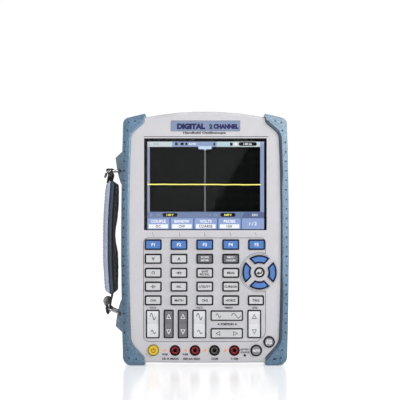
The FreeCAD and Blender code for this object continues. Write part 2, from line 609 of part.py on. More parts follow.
def screw(x, z, y_seat, y_tip, r=1.4, head=2.9):
    s = cyl_y(x, z, r, y_tip, y_seat)
    h = cyl_y(x, z, head, y_seat, y_seat + 1.9)
    h = soften(h, y_seat + 1.9, (0.8, 0.5))
    s = s.fuse(h).removeSplitter()
    s = s.cut([box(x - 1.7, x + 1.7, y_seat + 0.9, y_seat + 3, z - 0.35, z + 0.35), box(x - 0.35, x + 0.35, y_seat + 0.9, y_seat + 3, z - 1.7, z + 1.7)])
    return one(s)


for x, z in BOSSES:
    screws.append(screw(x, z, 20.65, -14.0))
for x in (-47.9, 47.9):
    # short ones in the door
    screws.append(screw(x, 40.0, 22.62 - 0.6 + 0.6, 12.5, 1.2, 2.8).common(box(-80, 80, -10, BACK_Y + 0.4, 0, 250)))
put("case_screws", *screws)

# ---------------------------------------------------------------- stand
py, pz = STAND_PIVOT
st = plate(-STAND_HALF, STAND_HALF, STAND_TIP, pz, 3.0, 20.0, 23.4)
win = plate(-22.0, 22.0, STAND_TIP + 22.0, pz - 24.0, 4.0, 10, 30)
st = st.cut(win)
st = st.fuse(cyl_x(py, pz, 1.9, -STAND_HALF, STAND_HALF)).removeSplitter()
st = st.fuse(cyl_x(py, pz, 1.42, -41.5, 41.5)).removeSplitter()
st = st.cut([box(-STAND_HALF + 6, STAND_HALF - 6, 22.9, 30, STAND_TIP + 5, STAND_TIP + 6.2), box(-STAND_HALF + 6, STAND_HALF - 6, 22.9, 30, STAND_TIP + 9, STAND_TIP + 10.2), box(-STAND_HALF + 6, STAND_HALF - 6, 22.9, 30, STAND_TIP + 13, STAND_TIP + 14.2)])
put("tilt_stand", one(st))

# ---------------------------------------------------------------- strap rings
def ring(pivot, bar):
    """Closed rectangular loop of round wire; one side in the ear, one for the webbing."""
    dx, dz = bar[0] - pivot[0], bar[1] - pivot[1]
    L = math.hypot(dx, dz)
    ux, uz = dx / L, dz / L
    hw, rc = 15.6, 2.0

    def p(a, y):
        return V(pivot[0] + ux * a, y, pivot[1] + uz * a)

    k = rc * (1 - math.sqrt(0.5))
    edges = [
        Part.LineSegment(p(0, -hw + rc), p(0, hw - rc)).toShape(),
        Part.Arc(p(0, hw - rc), p(k, hw - k), p(rc, hw)).toShape(),
        Part.LineSegment(p(rc, hw), p(L - rc, hw)).toShape(),
        Part.Arc(p(L - rc, hw), p(L - k, hw - k), p(L, hw - rc)).toShape(),
        Part.LineSegment(p(L, hw - rc), p(L, -hw + rc)).toShape(),
        Part.Arc(p(L, -hw + rc), p(L - k, -hw + k), p(L - rc, -hw)).toShape(),
        Part.LineSegment(p(L - rc, -hw), p(rc, -hw)).toShape(),
        Part.Arc(p(rc, -hw), p(k, -hw + k), p(0, -hw + rc)).toShape(),
    ]
    parts = []
    for e in edges:
        a = e.valueAt(e.FirstParameter)
        t = e.tangentAt(e.FirstParameter)
        circ = Part.Wire(Part.makeCircle(RING_R, a, t))
        parts.append(Part.Wire([e]).makePipeShell([circ], True, True))
    s = parts[0]
    s = s.fuse(parts[1:]).removeSplitter()
    return one(s)


put("strap_ring_upper", ring(PIVOT_U, BAR_U))
put("strap_ring_lower", ring(PIVOT_L, BAR_L))

# ---------------------------------------------------------------- strap
pad_pts_in = [(-85.4, 176.6), (-85.2, 165.0), (-85.7, 152.0), (-86.5, 144.6), (-87.8, 137.5), (-88.8, 132.0), (-89.0, 126.0), (-88.7, 120.5), (-87.2, 115.0), (-86.0, 109.0), (-85.6, 100.0), (-85.7, 86.0), (-86.1, 72.8)]
pad_pts_out = [(-97.3, 72.8), (-98.2, 84.0), (-98.7, 104.0), (-98.8, 124.0), (-98.4, 144.0), (-97.6, 162.0), (-96.6, 177.2)]
pe = [
    spline(pad_pts_in),
    line(pad_pts_in[-1], (-91.4, 68.6)),
    line((-91.4, 68.6), pad_pts_out[0]),
    spline(pad_pts_out),
    line(pad_pts_out[-1], (-91.3, 181.0)),
    line((-91.3, 181.0), pad_pts_in[0]),
]
pad = prism(Part.Face(Part.Wire(pe)), -PAD_HALF, PAD_HALF)
slot = box(-94.0, -92.0, -12.6, 12.6, 40, 200)       # channel for the webbing
pad = soften(pad, -PAD_HALF, (3.0, 2.5, 2.0, 1.2))
pad = soften(pad, PAD_HALF, (3.0, 2.5, 2.0, 1.2))
pad = pad.cut(slot)
put("strap_pad", one(pad))

WEB = 1.2
hw = 12.0


def band(pts, t=WEB):
    """Flat band of webbing along points in the XZ plane."""
    out = []
    for (x0, z0), (x1, z1) in zip(pts[:-1], pts[1:]):
        L = math.hypot(x1 - x0, z1 - z0)
        nx, nz = -(z1 - z0) / L * t / 2, (x1 - x0) / L * t / 2
        q = [V(x0 + nx, 0, z0 + nz), V(x1 + nx, 0, z1 + nz), V(x1 - nx, 0, z1 - nz), V(x0 - nx, 0, z0 - nz)]
        out.append(prism(Part.Face(Part.makePolygon(q + [q[0]])), -hw, hw))
    for x, z in pts[1:-1]:
        out.append(cyl_y(x, z, t / 2, -hw, hw))
    return out


LOOP_IN = RING_R + 0.55
LOOP_OUT = LOOP_IN + WEB
web = []
for bx, bz in (BAR_U, BAR_L):
    web.append(cyl_y(bx, bz, LOOP_OUT, -hw, hw))
web += band([(-93.0, 66.0), (-93.0, 184.0)])
web += band([(BAR_U[0] + 0.6, BAR_U[1] - LOOP_IN - 0.4), (-93.0, 184.0)])
web += band([(-93.0, 66.0), (BAR_L[0] + 0.4, BAR_L[1] + LOOP_IN + 0.4)])
# folded ends: above the pad one tail lies outside it, below they stand off as a bulge
web += band([(BAR_U[0] - LOOP_OUT + 0.6, BAR_U[1]), (-97.0, 184.0), (-97.9, 178.6)])
web += band([(BAR_L[0] - LOOP_OUT + 0.6, BAR_L[1] + 0.2), (-98.3, 60.5), (-96.4, 65.0), (-93.2, 67.0)])
web += band([(BAR_L[0] - 1.4, BAR_L[1] - LOOP_OUT + 0.7), (-95.6, 50.2), (-97.2, 47.6)])
webbing = web[0].fuse(web[1:]).removeSplitter()
webbing = webbing.cut([cyl_y(BAR_U[0], BAR_U[1], LOOP_IN, -30, 30), cyl_y(BAR_L[0], BAR_L[1], LOOP_IN, -30, 30)])
put("strap_webbing", one(webbing))

# ---------------------------------------------------------------- write
os.makedirs("parts", exist_ok=True)
lo = [1e9] * 3
hi = [-1e9] * 3
for name in sorted(OUT):
    shape = Part.makeCompound(OUT[name]) if len(OUT[name]) != 1 else OUT[name][0]
    shape = shape.copy()
    shape.translate(V(CASE_X, 0, 0))
    b = shape.BoundBox
    for i, (a, c) in enumerate(((b.XMin, b.XMax), (b.YMin, b.YMax), (b.ZMin, b.ZMax))):
        lo[i] = min(lo[i], a)
        hi[i] = max(hi[i], c)
    print("%-24s solids %2d  volume %9.1f  valid %s" % (name, len(OUT[name]), shape.Volume, shape.isValid()))
    shape.exportStep("parts/%s.step" % name)
print("nodes", len(OUT), "box", [round(v, 2) for v in lo], [round(v, 2) for v in hi])
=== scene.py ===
import random
from math import copysign, cos, hypot, pi, radians, sin, sqrt

import bmesh
import bpy
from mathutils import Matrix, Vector, noise


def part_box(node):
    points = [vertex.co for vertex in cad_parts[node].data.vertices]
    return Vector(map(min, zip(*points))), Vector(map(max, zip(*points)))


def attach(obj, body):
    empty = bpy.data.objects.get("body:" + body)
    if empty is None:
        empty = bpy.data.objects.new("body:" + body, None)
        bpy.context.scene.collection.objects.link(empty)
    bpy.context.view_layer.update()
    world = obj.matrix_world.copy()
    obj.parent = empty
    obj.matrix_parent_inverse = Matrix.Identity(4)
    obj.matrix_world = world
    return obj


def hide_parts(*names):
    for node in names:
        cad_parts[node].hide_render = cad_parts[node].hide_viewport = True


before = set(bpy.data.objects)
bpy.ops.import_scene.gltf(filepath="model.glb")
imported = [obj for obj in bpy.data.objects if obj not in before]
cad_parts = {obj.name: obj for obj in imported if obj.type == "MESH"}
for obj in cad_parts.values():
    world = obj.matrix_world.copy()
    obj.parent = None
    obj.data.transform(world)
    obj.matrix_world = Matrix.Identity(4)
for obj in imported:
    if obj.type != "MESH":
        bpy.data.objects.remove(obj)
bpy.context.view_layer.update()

random.seed(7)
scene = bpy.context.scene

MM = 0.001
lo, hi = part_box("front_shell")
CASE_X = (lo.x + hi.x) / 2  # case centre line
FACE = lo.y  # front face of the case


# ---- materials
def srgb(h):
    h = h.lstrip("#")
    v = [int(h[i:i + 2], 16) / 255 for i in (0, 2, 4)]
    return tuple(c / 12.92 if c <= 0.04045 else ((c + 0.055) / 1.055) ** 2.4 for c in v)


def rgba(c):
    """What a colour socket takes, from a grey value, an RGB triple or an RGBA tuple."""
    if isinstance(c, (int, float)):
        return c, c, c, 1
    return (*c, 1) if len(c) == 3 else c


class Mat:
    """A node material with the chains the surfaces here need."""

    def __init__(self, name):
        self.m = bpy.data.materials.new(name)
        self.m.use_nodes = True
        self.t = self.m.node_tree
        self.b = self.t.nodes["Principled BSDF"]
        self.co = self.t.nodes.new("ShaderNodeTexCoord").outputs["Object"]
        self.normal = None

    def new(self, kind, **values):
        n = self.t.nodes.new(kind)
        for k, v in values.items():
            setattr(n, k, v)
        return n

    def link(self, a, b):
        self.t.links.new(a, b)

    def feed(self, socket, v):
        """Link v into a socket, or set it there; a tuple is a colour."""
        if isinstance(v, (int, float)):
            socket.default_value = v
        elif isinstance(v, tuple):
            socket.default_value = rgba(v)
        else:
            self.link(v, socket)

    def mapped(self, key, value):
        """Object coordinates, scaled or turned by value."""
        mp = self.new("ShaderNodeMapping")
        mp.inputs[key].default_value = value
        self.link(self.co, mp.inputs["Vector"])
        return mp.outputs["Vector"]

    def height(self):
        """Height in metres."""
        sep = self.new("ShaderNodeSeparateXYZ")
        self.link(self.co, sep.inputs[0])
        return sep.outputs["Z"]

    def noise(self, size_mm, detail=3.0, rough=0.55, stretch=None):
        co = self.mapped("Scale", stretch) if stretch else self.co
        n = self.new("ShaderNodeTexNoise")
        n.inputs["Scale"].default_value = 1000.0 / size_mm
        n.inputs["Detail"].default_value = detail
        n.inputs["Roughness"].default_value = rough
        self.link(co, n.inputs["Vector"])
        return n.outputs["Fac"]

    def voronoi(self, size_mm):
        n = self.new("ShaderNodeTexVoronoi", feature="F1")
        n.inputs["Scale"].default_value = 1000.0 / size_mm
        self.link(self.co, n.inputs["Vector"])
        return n.outputs["Distance"]

    def math(self, op, a, b=None, clamp=False):
        n = self.new("ShaderNodeMath", operation=op, use_clamp=clamp)
        for s, v in zip(n.inputs, (a, b)):
            if v is not None:
                self.feed(s, v)
        return n.outputs[0]

    def ramp(self, fac, stops):
        n = self.new("ShaderNodeValToRGB")
        el = n.color_ramp.elements
        while len(el) < len(stops):
            el.new(0.5)
        for e, (p, c) in zip(el, stops):
            e.position = p
            e.color = rgba(c)
        self.link(fac, n.inputs["Fac"])
        return n.outputs["Color"]

    def mix(self, fac, a, b, blend="MIX"):
        n = self.new("ShaderNodeMix", data_type="RGBA", blend_type=blend)
        for k, v in ((0, fac), (6, a), (7, b)):
            self.feed(n.inputs[k], v)
        return n.outputs[2]

    def bump(self, height, distance_mm, strength=1.0):
        n = self.new("ShaderNodeBump")
        n.inputs["Distance"].default_value = distance_mm * MM
        n.inputs["Strength"].default_value = strength
        self.link(height, n.inputs["Height"])
        if self.normal is not None:
            self.link(self.normal, n.inputs["Normal"])
        self.normal = n.outputs["Normal"]
        self.link(self.normal, self.b.inputs["Normal"])

    def shade(self, col, spread, size_mm, detail=4.0):
        """Colour that drifts by spread either way over patches of size_mm."""
        f = self.noise(size_mm, detail)
        dark = tuple(c * (1 - spread) for c in col)
        light = tuple(min(1, c * (1 + spread)) for c in col)
        return self.ramp(f, [(0.32, dark), (0.68, light)])

    def set(self, **values):
        for k, v in values.items():
            self.feed(self.b.inputs[k.replace("_", " ")], v)
        return self


TONE_TOP = 250.0  # height at which the painted light along Z ends, in mm


def by_height(m, stops):
    """Painted light and shade along Z; stops are (height in mm, factor), lowest first."""
    return m.ramp(m.math("DIVIDE", m.height(), TONE_TOP * MM), [(h / TONE_TOP, f) for h, f in stops])


def plastic(name, col, rough=0.5, grain=0.35, spread=0.03, depth=0.02, speckle=0.0, coat=0.0,
            painted_light=None, spec=0.5):
    """Moulded plastic: fine spark-eroded grain, faint mottling, uneven gloss, and, if given, painted light
    and shade along its height.
    """
    m = Mat(name)
    c = m.shade(col, spread, 9.0)
    if painted_light:
        c = m.mix(1.0, c, by_height(m, painted_light), "MULTIPLY")
    if speckle:
        s = m.ramp(m.noise(0.55, 2.0, 0.7), [(0.36, 1 - speckle), (0.62, 1 + speckle)])
        c = m.mix(1.0, c, s, "MULTIPLY")
    r = m.ramp(m.noise(6.0, 5.0), [(0.3, rough - 0.06), (0.7, rough + 0.06)])
    m.set(Base_Color=c, Roughness=r, Coat_Weight=coat, Coat_Roughness=0.25, Specular_IOR_Level=spec)
    m.bump(m.noise(grain, 3.0), depth, 0.6)
    return m.m


ROCKER_MIDDLE, ROCKER_HALF = 0.0408, 0.0134  # height and half length of the tall rockers, in m


def rocker_plastic(name, col):
    """Satin plastic with painted shade, as two faces that each turn away from the light downwards."""
    m = Mat(name)
    start = ROCKER_MIDDLE - 2 * ROCKER_HALF
    up = m.math("FRACT", m.math("DIVIDE", m.math("SUBTRACT", m.height(), start), ROCKER_HALF))
    painted_light = m.ramp(up, [(0.0, 0.99), (1.0, 1.16)])
    m.set(Base_Color=m.mix(1.0, m.shade(col, 0.03, 5.0), painted_light, "MULTIPLY"), Roughness=0.42)
    m.bump(m.noise(0.4), 0.012, 0.6)
    return m.m


def ink(name, col, rough=0.45):
    m = Mat(name)
    m.set(Base_Color=m.shade(col, 0.05, 1.6), Roughness=rough)
    m.bump(m.noise(0.3), 0.006, 0.5)
    return m.m


BACKLIGHT = 1.42  # emission strength of the lit picture


def glow(name, col, power=1.0, spread=0.02):
    """A lit patch of the display, with the panel's fine unevenness."""
    m = Mat(name)
    c = m.shade(col, spread, 14.0)
    m.set(Base_Color=(0, 0, 0), Emission_Color=c, Emission_Strength=power * BACKLIGHT,
          Roughness=0.5, Specular_IOR_Level=0.0)
    return m.m


def rubber(name, col, spread=0.13, painted_light=((0, 1.0), (250, 1.0))):
    """Pebbled rubber in patchy tones, with painted light and shade that make it lighter and darker along
    its height.
    """
    m = Mat(name)
    c = m.shade(col, spread, 2.2, 6.0)
    c = m.mix(0.5, c, m.ramp(m.noise(26.0, 3.0), [(0.3, 0.86), (0.7, 1.12)]), "MULTIPLY")
    c = m.mix(1.0, c, m.ramp(m.noise(1.5, 2.0, 0.7), [(0.36, 0.78), (0.64, 1.22)]), "MULTIPLY")
    c = m.mix(1.0, c, by_height(m, painted_light), "MULTIPLY")
    r = m.ramp(m.noise(1.4, 4.0), [(0.3, 0.5), (0.7, 0.66)])
    m.set(Base_Color=c, Roughness=r, Sheen_Weight=0.12, Sheen_Roughness=0.45, Specular_IOR_Level=0.45)
    m.bump(m.noise(1.1, 4.0, 0.65), 0.09, 0.75)
    m.bump(m.noise(0.4, 2.0), 0.02, 0.6)
    return m.m


def metal(name, col, rough=0.22, brushed=False):
    m = Mat(name)
    grain = m.noise(3.0, 5.0, 0.6, (1, 1, 12) if brushed else None)
    r = m.ramp(grain, [(0.3, rough * 0.7), (0.7, rough * 1.4)])
    m.set(Base_Color=m.shade(col, 0.06, 4.0), Roughness=r, Metallic=1.0)
    m.bump(m.noise(0.8, 3.0), 0.006, 0.5)
    return m.m


# painted shade: the case is painted darker towards its bottom
case_m = plastic("case_light_grain", (0.522, 0.512, 0.536), 0.42, 0.5, 0.02, 0.02, 0.025,
                 painted_light=((0, 0.8), (9, 0.88), (22, 0.95), (50, 1.0)))
field_m = plastic("keypad_field_film", (0.49, 0.483, 0.506), 0.4, 0.45, 0.03, 0.02, 0.09)
GUARD = (0.094, 0.168, 0.25)
# painted light along the guards' height: both lighter towards the top, the right one far more, as if lit
# from the upper right
L_PAINTED_LIGHT = ((0, 0.92), (60, 0.92), (130, 1.02), (240, 1.16))
R_PAINTED_LIGHT = ((0, (0.88, 0.92, 0.92)), (60, (0.98, 0.98, 0.96)), (110, (1.5, 1.38, 1.34)),
          (160, (1.74, 1.5, 1.36)), (240, (2.5, 1.93, 1.62)))
guard_m = rubber("guard_rubber_pebble", GUARD, 0.16, L_PAINTED_LIGHT)
guard_right_lit_m = rubber("guard_rubber_pebble_right_lit", GUARD, 0.16, R_PAINTED_LIGHT)
# painted light and shade on the inner bevels: a lighter copy of the rubber on the left guard, a dark copy
# on the right guard and on the ear's edge
bevel_painted_light_m = rubber("guard_bevel_painted_light", (0.19, 0.265, 0.34), 0.1,
                       ((0, 0.52), (50, 0.52), (110, 1.05), (240, 1.05)))
bevel_painted_shade_m = rubber("guard_bevel_painted_shade", (0.034, 0.056, 0.086), 0.1, L_PAINTED_LIGHT)
pit_m = rubber("guard_pit_shadow", (0.01, 0.022, 0.036), 0.1)
ear_m = rubber("ear_rubber", (0.165, 0.235, 0.3), 0.08)
key_m = plastic("key_light_satin", (0.525, 0.525, 0.54), 0.4, 0.4, 0.02, 0.012, 0.03)
rim_m = plastic("key_dark_rim", (0.01, 0.01, 0.014), 0.5, 0.4, 0.1, 0.01, spec=0.2)
dark_m = plastic("key_dark_satin", (0.115, 0.115, 0.13), 0.42, 0.4, 0.06, 0.012, 0.05)
tall_light_m = rocker_plastic("rocker_light_satin", (0.56, 0.56, 0.58))
tall_dark_m = rocker_plastic("rocker_dark_satin", (0.132, 0.132, 0.144))
blue_m = plastic("key_blue_satin", (0.062, 0.174, 0.445), 0.36, 0.4, 0.05, 0.012, 0.03)
navy_m = plastic("key_navy_rim", (0.006, 0.012, 0.06), 0.45, 0.4, 0.1, 0.01, spec=0.2)
yellow_m = plastic("key_yellow_satin", (0.62, 0.44, 0.01), 0.34, 0.4, 0.05, 0.012, 0.03)
round_m = plastic("key_round_grey", (0.2, 0.2, 0.215), 0.38, 0.4, 0.05, 0.012, 0.04)
plate_m = plastic("name_plate_blue", (0.185, 0.238, 0.355), 0.34, 0.35, 0.04, 0.008, 0.05)
mat_m = plastic("keypad_mat_black", (0.022, 0.022, 0.028), 0.7, 0.6, 0.15, 0.03)
# painted shade: the walls of the openings in the case are painted dark grey
cut_edge_shade_m = plastic("case_cut_edge_painted_shade", (0.14, 0.14, 0.16), 0.55, 0.5, 0.05, 0.02)
# the display's black mask, also used as painted shade in the seat of the display window and round it
black_mask_and_shade_m = plastic("screen_black_mask_and_shade", (0.004, 0.004, 0.006), 0.45, 0.6, 0.1, 0.004, spec=0.15)
red_m = plastic("socket_red", (0.33, 0.018, 0.02), 0.3, 0.7, 0.06, 0.01, coat=0.05, spec=0.3)
darkred_m = plastic("socket_collar_dark", (0.022, 0.002, 0.003), 0.35, 0.7, 0.1, 0.01, spec=0.15)
jet_m = plastic("socket_black", (0.008, 0.008, 0.01), 0.32, 0.7, 0.1, 0.01, spec=0.15)
sleeve_m = plastic("battery_sleeve", (0.03, 0.035, 0.05), 0.35, 2.0, 0.1, 0.02)
nickel_m = metal("nickel_plate", (0.72, 0.71, 0.69), 0.24)
chrome_m = metal("ring_wire", (0.36, 0.36, 0.37), 0.2)
steel_m = metal("screw_zinc", (0.5, 0.5, 0.5), 0.35, True)


def board_material():
    m = Mat("board_solder_mask")
    tr = m.new("ShaderNodeTexBrick")
    tr.inputs["Scale"].default_value = 220
    tr.inputs["Mortar Size"].default_value = 0.06
    tr.inputs["Color1"].default_value = (0.01, 0.085, 0.03, 1)
    tr.inputs["Color2"].default_value = (0.014, 0.105, 0.038, 1)
    tr.inputs["Mortar"].default_value = (0.03, 0.18, 0.06, 1)
    m.link(m.mapped("Rotation", (pi / 2, 0, 0)), tr.inputs["Vector"])
    m.set(Base_Color=tr.outputs["Color"], Roughness=0.35)
    m.bump(tr.outputs["Fac"], 0.02, 0.4)
    return m.m


board_m = board_material()


def window_material():
    m = Mat("window_hard_coat")
    m.set(Base_Color=(0.01, 0.01, 0.012), Roughness=0.012, Alpha=0.13, Specular_IOR_Level=0.5)
    m.m.surface_render_method = "BLENDED"
    return m.m


window_m = window_material()


def leather(name, col, spread=0.1, rough=0.5):
    m = Mat(name)
    c = m.shade(col, spread, 3.0, 6.0)
    v = m.voronoi(1.3)
    c = m.mix(0.55, c, m.ramp(v, [(0.0, 1.08), (0.55, 0.8)]), "MULTIPLY")
    m.set(Base_Color=c, Roughness=rough, Specular_IOR_Level=0.4, Sheen_Weight=0.06)
    m.bump(v, 0.12, -0.5)
    m.bump(m.noise(0.5, 4.0), 0.04, 0.5)
    return m.m


def weave(name, col, pitch_mm=0.9, fuzz=0.12, speck=0.4):
    """Woven or knitted cloth: three crossed wave sets with a fuzzy top."""
    m = Mat(name)
    waves = []
    turn = radians(45)
    for rot in ((0, 0, turn), (0, turn, 0), (turn, 0, 0)):
        w = m.new("ShaderNodeTexWave", wave_type="BANDS", bands_direction="X")
        w.inputs["Scale"].default_value = 1000.0 / (pitch_mm * 20) * pi
        w.inputs["Distortion"].default_value = 0.6
        w.inputs["Detail"].default_value = 1.0
        m.link(m.mapped("Rotation", rot), w.inputs["Vector"])
        waves.append(w.outputs["Fac"])
    h = m.math("ADD", m.math("MULTIPLY", waves[0], waves[1]), m.math("MULTIPLY", waves[2], 0.5))
    c = m.ramp(h, [(0.1, tuple(v * 0.45 for v in col)), (1.0, tuple(min(1, v * 1.7) for v in col))])
    flecks = m.ramp(m.noise(2.0, 5.0, 0.7), [(0.36, 1 - speck), (0.64, 1 + speck * 1.6)])
    c = m.mix(0.8, c, flecks, "MULTIPLY")
    m.set(Base_Color=c, Roughness=0.9, Sheen_Weight=fuzz, Sheen_Roughness=0.6, Specular_IOR_Level=0.2)
    m.bump(h, 0.25, 0.8)
    m.bump(m.noise(0.6, 5.0, 0.7), 0.15, 0.6)
    return m.m


cover_m = leather("strap_cover_leather", (0.308, 0.358, 0.462))
# a dark blue-grey band between the strap's cover and the black part of its edge
strap_dark_band_m = leather("strap_edge_slate", (0.032, 0.053, 0.082), 0.12, 0.6)
lining_m = weave("strap_lining_mesh", (0.02, 0.021, 0.025), 1.5, 0.12, 0.85)
webbing_m = weave("strap_webbing_weave", (0.03, 0.031, 0.034), 1.1)
hook_m = weave("hook_and_loop_fuzz", (0.105, 0.105, 0.108), 0.8, 0.35)
thread_m = ink("strap_stitching", (0.1, 0.12, 0.16), 0.7)

ink_dark = ink("print_dark_grey", (0.045, 0.045, 0.06))
ink_mid = ink("print_mid_grey", (0.016, 0.016, 0.024))
ink_pale = ink("print_pale_grey", (0.38, 0.38, 0.4))
ink_white = ink("print_white", (0.86, 0.87, 0.9))
ink_orange = ink("print_orange", (0.8, 0.33, 0.1))
ink_rust = ink("print_rust", (0.24, 0.075, 0.0))
# painted shadow round the edge of the power button, in brown
shadow_brown = ink("painted_shadow_brown", (0.3, 0.19, 0.0))
ink_navy = ink("print_navy", (0.004, 0.003, 0.085))


def give(ob, mats):
    for m in mats:
        ob.data.materials.append(m)


# ---- carried-over nodes
def paint(node, *mats):
    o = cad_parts[node]
    o.data.materials.clear()
    give(o, mats)
    return o


def sort_faces(node, mats, pick):
    """Give each triangle of a node one of mats, by pick(centre in case millimetres, normal)."""
    o = paint(node, *mats)
    for p in o.data.polygons:
        c = p.center
        p.material_index = pick((c.x - CASE_X) / MM, c.y / MM, c.z / MM, p.normal)
    return o


def centre(node):
    """Middle of a node in x and z, then its front in y, in case millimetres."""
    a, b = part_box(node)
    return (a.x + b.x) / 2 / MM - CASE_X / MM, (a.z + b.z) / 2 / MM, a.y / MM


NAV_X, NAV_Z = centre("nav_up")[0], centre("nav_enter")[1]
NAV_OUT, NAV_IN = 18.9, 17.8  # outline groove round the arrow keys, in radius
FIELD_X0, FIELD_X1, FIELD_Z0, FIELD_Z1 = -60.2, 59.3, 23.5, 125.1  # the darker field under the keys
CORNER_X, CORNER_SLOPE = 50.5, 1.05  # its cut lower right corner
KEY_FRONT = -24.2  # a key is in its top colour in front of this


def front_pick(x, y, z, n):
    """0 case, 1 key field, 2 cut edges in painted shade, 3 foot of the outline groove in painted shadow, 4
    seat of the display window, painted black as shade.
    """
    if n.y < -0.9 and y < -23.9:
        r = hypot(x - NAV_X, z - NAV_Z)
        cut = x > CORNER_X and z < FIELD_Z0 + (x - CORNER_X) * CORNER_SLOPE
        field = FIELD_X0 < x < FIELD_X1 and FIELD_Z0 < z < FIELD_Z1 and r >= NAV_OUT and not cut
        return 1 if field or r < NAV_IN else 0
    if -23.85 < y < -20.0 and abs(x) < 62 and 128 < z < 224:
        return 4
    if abs(n.y) < 0.6 and -24.0 < y < -21.4 and abs(x) < 72 and 7 < z < 240:
        return 2
    if n.y < -0.9 and -23.75 < y < -23.5 and abs(x) < 62 and 22 < z < 126:
        return 3
    return 0


groove_m = plastic("groove_shadow", (0.16, 0.16, 0.18), 0.6, 0.5, 0.05, 0.01)
sort_faces("front_shell", [case_m, field_m, cut_edge_shade_m, groove_m, black_mask_and_shade_m], front_pick)
paint("rear_shell", case_m)
paint("battery_door", case_m)
paint("tilt_stand", dark_m)


PIT_R, PIT_PITCH = 0.86, 9.27  # the row of small pits down each guard
PITS = [(78.3 + 1.3 * (1 - ((PIT_PITCH * i - 88.4) / 100.0) ** 2), 32.6 + PIT_PITCH * i) for i in range(21)]
PITS += [(74.4, 237.4), (68.3, 238.6), (75.4, 229.4), (75.2, 15.6), (74.0, 7.6), (67.0, 6.6)]


def guard_pick(x, y, z, n):
    """0 rubber, 1 the ear's rubber, 2 bevel along the inner line, painted lit on the left guard and shaded
    on the right, 3 inside of a pit in painted shadow, 4 the ear's edge in painted shade.
    """
    if y < -22.9 and any(hypot(abs(x) - a, z - b) < PIT_R for a, b in PITS):
        return 3
    if x < -81.6 and abs(y) < 13.2 and (z > 172 or z < 69):
        return 4 if y < -11.7 and n.y > -0.96 else 1
    if y < -22.0 and n.x * x < 0 and abs(n.x) > 0.06 and abs(x) < 76:
        return 2
    return 0


sort_faces("left_bumper", [guard_m, ear_m, bevel_painted_light_m, pit_m, bevel_painted_shade_m], guard_pick)
sort_faces("right_bumper", [guard_right_lit_m, guard_right_lit_m, bevel_painted_shade_m, pit_m], guard_pick)
paint("port_flap", guard_right_lit_m)
paint("screen_window", window_m)
sort_faces("lcd_module", [black_mask_and_shade_m, nickel_m], lambda x, y, z, n: 1 if y > -20 else 0)
paint("name_plate", plate_m)
paint("keypad_mat", mat_m)


def keypad_board_pick(x, y, z, n):
    """0 solder mask, 1 the parts standing on the board."""
    return 1 if y < -16.5 or (107 < z < 114 and abs(x) < 21 and y > -14.05) else 0


def board_pick(x, y, z, n):
    """0 solder mask, 1 plated shields, 2 black parts."""
    if y < -7.9:
        return 0
    return 1 if z > 175 or (x < -15 and 95 < z < 131) else 2


def bnc_pick(x, y, z, n):
    """0 plated shell, 1 white insulator."""
    return 1 if hypot(abs(x) - 28, y - 13.5) < 2.45 and z > 232.6 else 0


def port_pick(x, y, z, n):
    """0 plated shell, 1 black plastic, 2 board."""
    if x < 66:
        return 2
    inside = 67.4 < x < 76.3 and abs(n.x) < 0.5 and 10 < y < 13.5
    return 1 if z < 110.5 or inside else 0


sort_faces("keypad_board", [board_m, jet_m], keypad_board_pick)
sort_faces("main_board", [board_m, nickel_m, jet_m], board_pick)
sort_faces("bnc_jacks", [nickel_m, ink_white], bnc_pick)
paint("battery_pack", sleeve_m)
paint("case_screws", steel_m)
sort_faces("port_sockets", [nickel_m, jet_m, board_m], port_pick)
paint("strap_ring_upper", chrome_m)
paint("strap_ring_lower", chrome_m)

JACK_X = (-29.2, -9.75, 9.25, 28.6)
JACK_Z = 15.0
JACK_R = 3.32  # radius inside which a socket shows its collar
COM = 2  # the black one of the four


def jack_pick(x, y, z, n):
    """0 red, 1 dark red, 2 black, 3 grey; each socket is darker outside its collar."""
    k = min(range(4), key=lambda i: abs(x - JACK_X[i]))
    if hypot(x - JACK_X[k], z - JACK_Z) > JACK_R:
        return 2 if k == COM else 1
    return 3 if k == COM else 0


comtop_m = plastic("socket_grey_ring", (0.105, 0.105, 0.095), 0.35, 0.7, 0.08, 0.01, spec=0.25)
sort_faces("jack_housings", [red_m, darkred_m, jet_m, comtop_m], jack_pick)
tube_m = metal("contact_tube", (0.06, 0.05, 0.04), 0.35)


def contact_pick(x, y, z, n):
    """0 tube, 1 red front, 2 grey front."""
    if n.y < -0.9 and y < -22.9:
        return 2 if -2 < x < 18 else 1
    return 0


sort_faces("jack_contacts", [tube_m, red_m, comtop_m], contact_pick)

ARROWS = ["nav_up", "nav_down", "nav_left", "nav_right"]
BLUE = ["key_f%d" % i for i in range(1, 6)] + ARROWS
DARK = ["key_scope_meter", "key_menu", "rocker_ch1_position", "rocker_ch2_position"]
for n in [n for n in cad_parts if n.startswith(("key_", "nav_", "rocker_"))]:
    top, rim = (blue_m, navy_m) if n in BLUE else (dark_m, rim_m) if n in DARK else (key_m, rim_m)
    if n.startswith("rocker_") and "time" not in n:
        top = tall_dark_m if n in DARK else tall_light_m
    sort_faces(n, [top, rim], lambda x, y, z, nn: 0 if nn.y < -0.96 and y < KEY_FRONT else 1)
for n, top in (("power_button", yellow_m), ("auto_button", round_m), ("run_stop_button", round_m)):
    rim = rim_m if top is round_m else yellow_m
    sort_faces(n, [top, rim], lambda x, y, z, nn: 0 if nn.y < -0.9 and y < KEY_FRONT else 1)


# ---- making objects
def link_object(name, data):
    ob = bpy.data.objects.new(name, data)
    scene.collection.objects.link(ob)
    return ob


def mesh_object(name, bm, mats):
    me = bpy.data.meshes.new(name)
    bm.to_mesh(me)
    bm.free()
    ob = link_object(name, me)
    give(ob, mats)
    return ob


def placed(x, y, z):
    """Case millimetres to the frame's metres."""
    return x * MM + CASE_X, y * MM, z * MM


